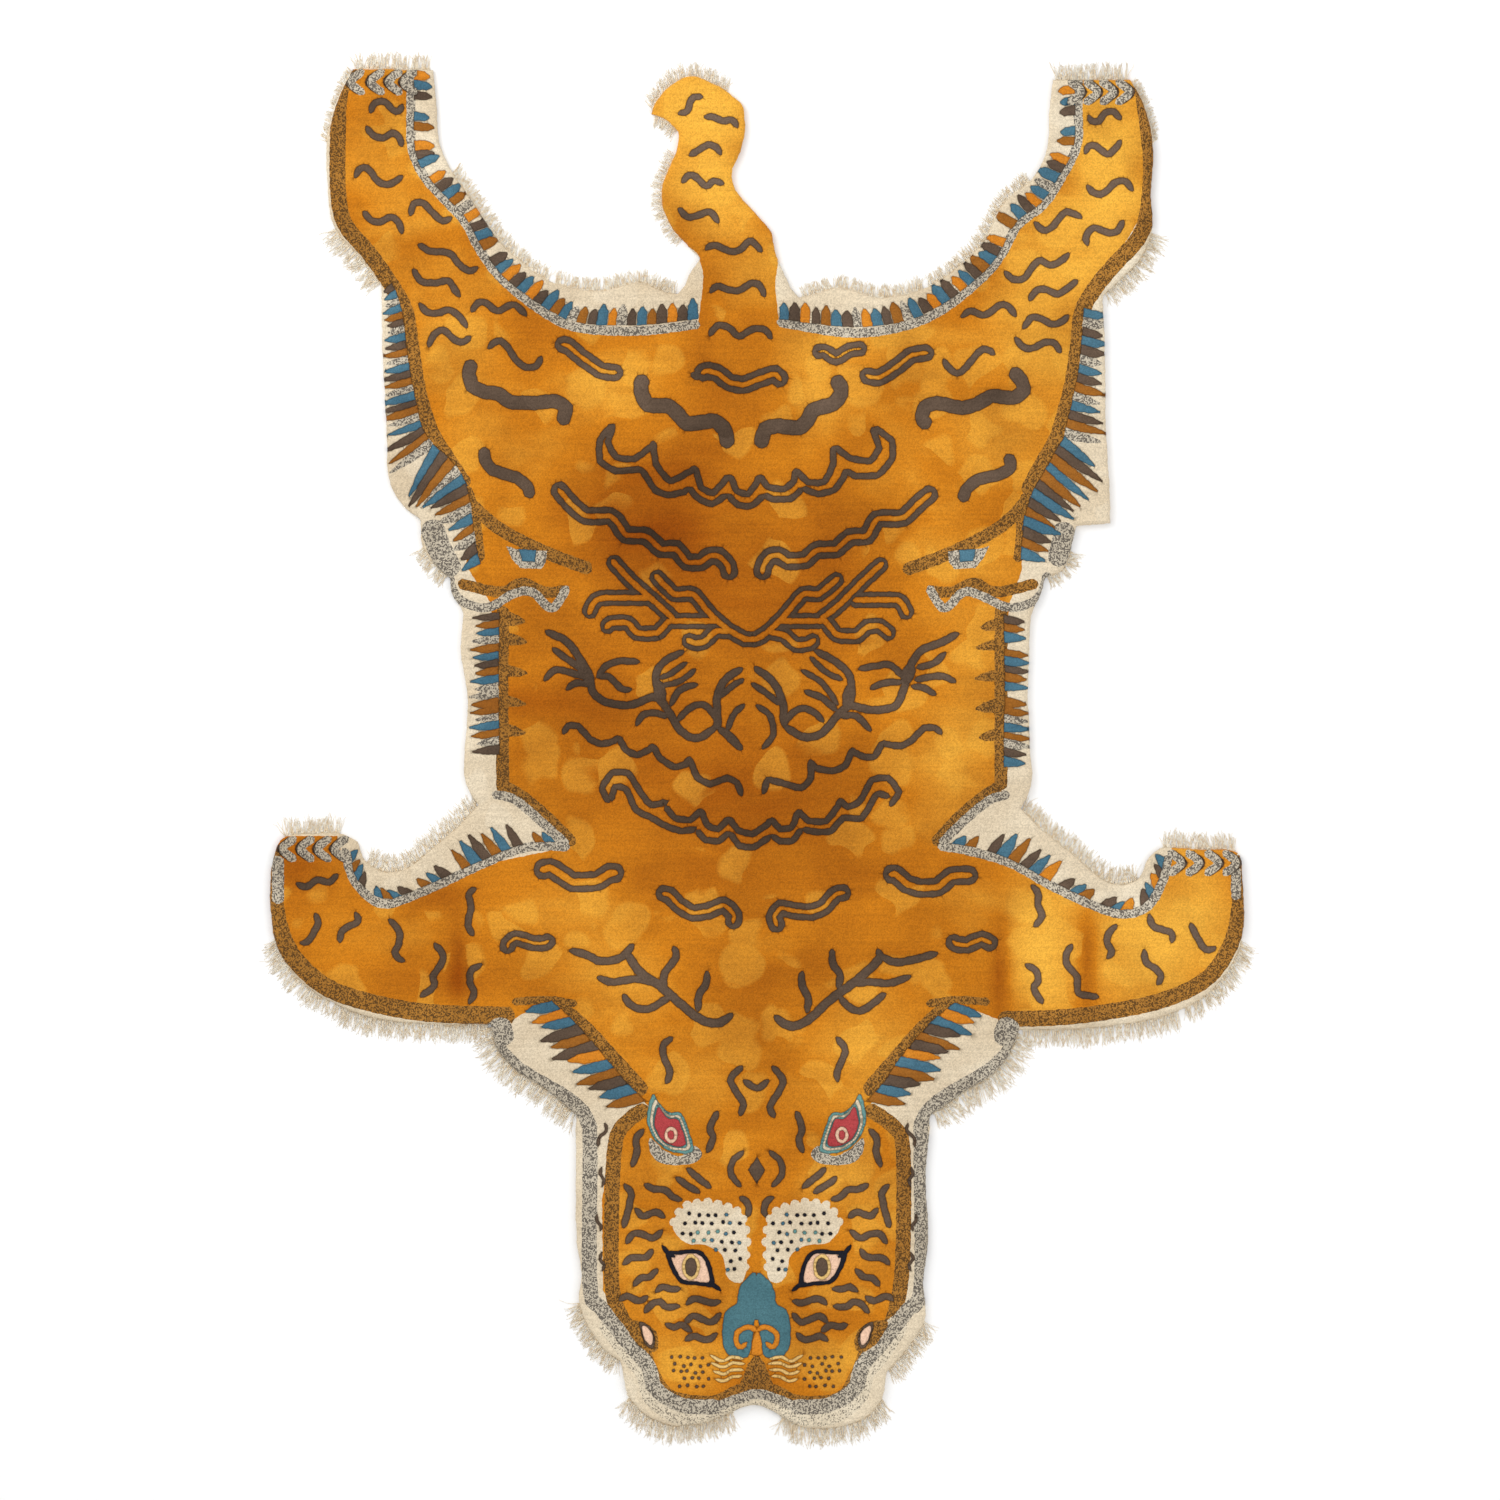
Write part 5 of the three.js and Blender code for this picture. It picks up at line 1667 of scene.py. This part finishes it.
def strand(root, along, reach, rise, chance):
    """The rings of one warp end: out from under the pile and down to the floor in a slow wave."""
    side = np.array([-along[1], along[0]])
    bend = chance.gauss(0, STRAND_BEND)
    wave = chance.gauss(0, STRAND_WAVE)
    turns = chance.uniform(*STRAND_WAVES) * 2 * math.pi
    phase = chance.uniform(0, 2 * math.pi)
    rings = []
    for ring in range(STRAND_RINGS):
        share = ring / (STRAND_RINGS - 1)
        drift = bend * share * share + wave * math.sin(turns * share + phase) * share
        place = root + along * (reach * share) + side * (reach * drift)
        radius = STRAND_RADIUS * (ROOT_SWELL - TIP_TAPER * share)
        height = radius + (ROOT_HEIGHT - radius) * (1 - share) ** 3 + rise * math.sin(math.pi * share)
        for corner in range(STRAND_SIDES):
            turn = 2 * math.pi * corner / STRAND_SIDES + math.pi / 2
            off = side * (radius * math.cos(turn))
            rings.append((place[0] + off[0], place[1] + off[1], max(0.0, height + radius * math.sin(turn))))
    return rings


def strand_faces(first):
    """The sides and the two ends of a strand whose rings start at the given corner."""
    faces = []
    for ring in range(STRAND_RINGS - 1):
        for corner in range(STRAND_SIDES):
            a = first + ring * STRAND_SIDES + corner
            b = first + ring * STRAND_SIDES + (corner + 1) % STRAND_SIDES
            faces.append((a, b, b + STRAND_SIDES, a + STRAND_SIDES))
    last = first + (STRAND_RINGS - 1) * STRAND_SIDES
    faces.append(tuple(range(first, first + STRAND_SIDES))[::-1])
    faces.append(tuple(range(last, last + STRAND_SIDES)))
    return faces


def heading(line, outwards):
    """The narrow woven strip under the pile's edge that holds the ends of a run."""
    corners, faces = [], []
    for point, out in zip(line, outwards):
        inner = point - out * HEADING_INSIDE
        outer = point + out * (HEADING_WIDTH - HEADING_INSIDE)
        middle = (inner + outer) / 2
        corners += [(*inner, HEADING_LIFT), (*outer, HEADING_LIFT), (*middle, HEADING_HEIGHT)]
    for number in range(len(line) - 1):
        for corner in range(3):
            a, b = 3 * number + corner, 3 * number + (corner + 1) % 3
            faces.append((a, b, b + 3, a + 3))
    faces += [(2, 1, 0), tuple(3 * len(line) - 3 + corner for corner in range(3))]
    return corners, faces


def build_fringe(name, positions, outline, finish):
    """One run of fringe: its heading and its strands, in small clumps."""
    chance = random.Random(name)
    kind = name.split("_", 2)[2]
    reach, lean = FRINGES[kind]
    line = outline[positions]
    outwards = -sideways(outline, True)[positions]
    corners, faces = heading(line, outwards)
    walked = lengths_along(line)
    count = max(4, round(walked[-1] / STRAND_PITCH))
    clump_turn = clump_reach = 0.0
    for number in range(count):
        if number % CLUMP_STRANDS == 0:
            clump_turn = chance.gauss(0, CLUMP_TURN)
            clump_reach = chance.uniform(*CLUMP_REACH)
        at = walked[-1] * (number + chance.uniform(0.1, 0.9)) / count
        point = at_length(at, walked, line)
        out = at_length(at, walked, outwards)
        warp = np.array([0.0, math.copysign(1.0, out[1])])
        aim = out * (1 - lean) + warp * lean
        turn = math.atan2(aim[1], aim[0]) + clump_turn + chance.gauss(0, STRAND_TURN)
        along = np.array([math.cos(turn), math.sin(turn)])
        length = reach * MM * (1 + clump_reach) * chance.uniform(*STRAND_REACH) + ROOT_INSIDE
        first = len(corners)
        rise = chance.uniform(0, STRAND_RISE)
        corners += strand(point - out * ROOT_INSIDE, along, length, rise, chance)
        faces += strand_faces(first)
    mesh = bpy.data.meshes.new(name)
    mesh.from_pydata(corners, [], faces)
    mesh.materials.append(finish)
    mesh.polygons.foreach_set("use_smooth", [True] * len(faces))
    mesh.update()
    piece = place_object(name + "_strands", mesh)
    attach(piece, "root")
    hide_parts(name)
    return piece


def edge_gap_from(outline):
    """A function that gives the distance of points from the cloth's edge."""
    samples = straight_line(outline, EDGE_SAMPLE)
    tree = kdtree.KDTree(len(samples))
    for number, (x, y) in enumerate(samples):
        tree.insert((x, y, 0), number)
    tree.balance()
    return lambda points: np.array([tree.find((x, y, 0))[2] for x, y in points])


def build_floor():
    """A plain pale floor."""
    material, _, shader = new_material("pale_floor")
    shader.inputs["Base Color"].default_value = FLOOR_COLOUR
    shader.inputs["Roughness"].default_value = FLOOR_ROUGHNESS
    half = FLOOR_SIZE / 2
    corners = [(-half, -half, 0), (half, -half, 0), (half, half, 0), (-half, half, 0)]
    mesh = bpy.data.meshes.new("floor")
    mesh.from_pydata(corners, [], [(0, 1, 2, 3)])
    mesh.materials.append(material)
    floor = place_object("floor", mesh)
    floor.location.z = -FLOOR_DROP


def place_camera():
    """Straight down over the rug, as wide as the picture."""
    data = bpy.data.cameras.new("camera")
    data.type = "ORTHO"
    data.ortho_scale = PICTURE_PX * PIXEL
    camera = place_object("camera", data)
    x, y = on_cloth([PICTURE_MIDDLE])[0]
    camera.location = (x, y, CAMERA_HEIGHT)
    bpy.context.scene.camera = camera


def light_the_floor():
    """Soft light from all round, with a broad lamp to the upper left that shows the relief."""
    world = bpy.data.worlds.new("world")
    world.use_nodes = True
    sky = world.node_tree.nodes["Background"]
    sky.inputs["Color"].default_value = (1, 1, 1, 1)
    sky.inputs["Strength"].default_value = WORLD_STRENGTH
    bpy.context.scene.world = world
    for name, at, size, power in LAMPS:
        data = bpy.data.lights.new(name, "AREA")
        data.size = size
        data.energy = power
        lamp = place_object(name, data)
        lamp.location = at
        lamp.rotation_euler = Vector(at).to_track_quat("Z", "Y").to_euler()
    bpy.context.scene.view_settings.view_transform = "Standard"


GROUPS = {"knots": knot_group(), "abrash_and_painted_light": abrash_and_painted_light_group(), "carved": groove_shade_group()}
outline = rug_outline()
edge_gap = edge_gap_from(outline)
rug = build_rug(outline, edge_gap)
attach(rug, "root")
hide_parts("rug_cloth")
warp_finish = cotton()
fringes = [build_fringe(name, run, outline, warp_finish) for name, run in edge_runs(outline).items()]
build_floor()
place_camera()
light_the_floor()
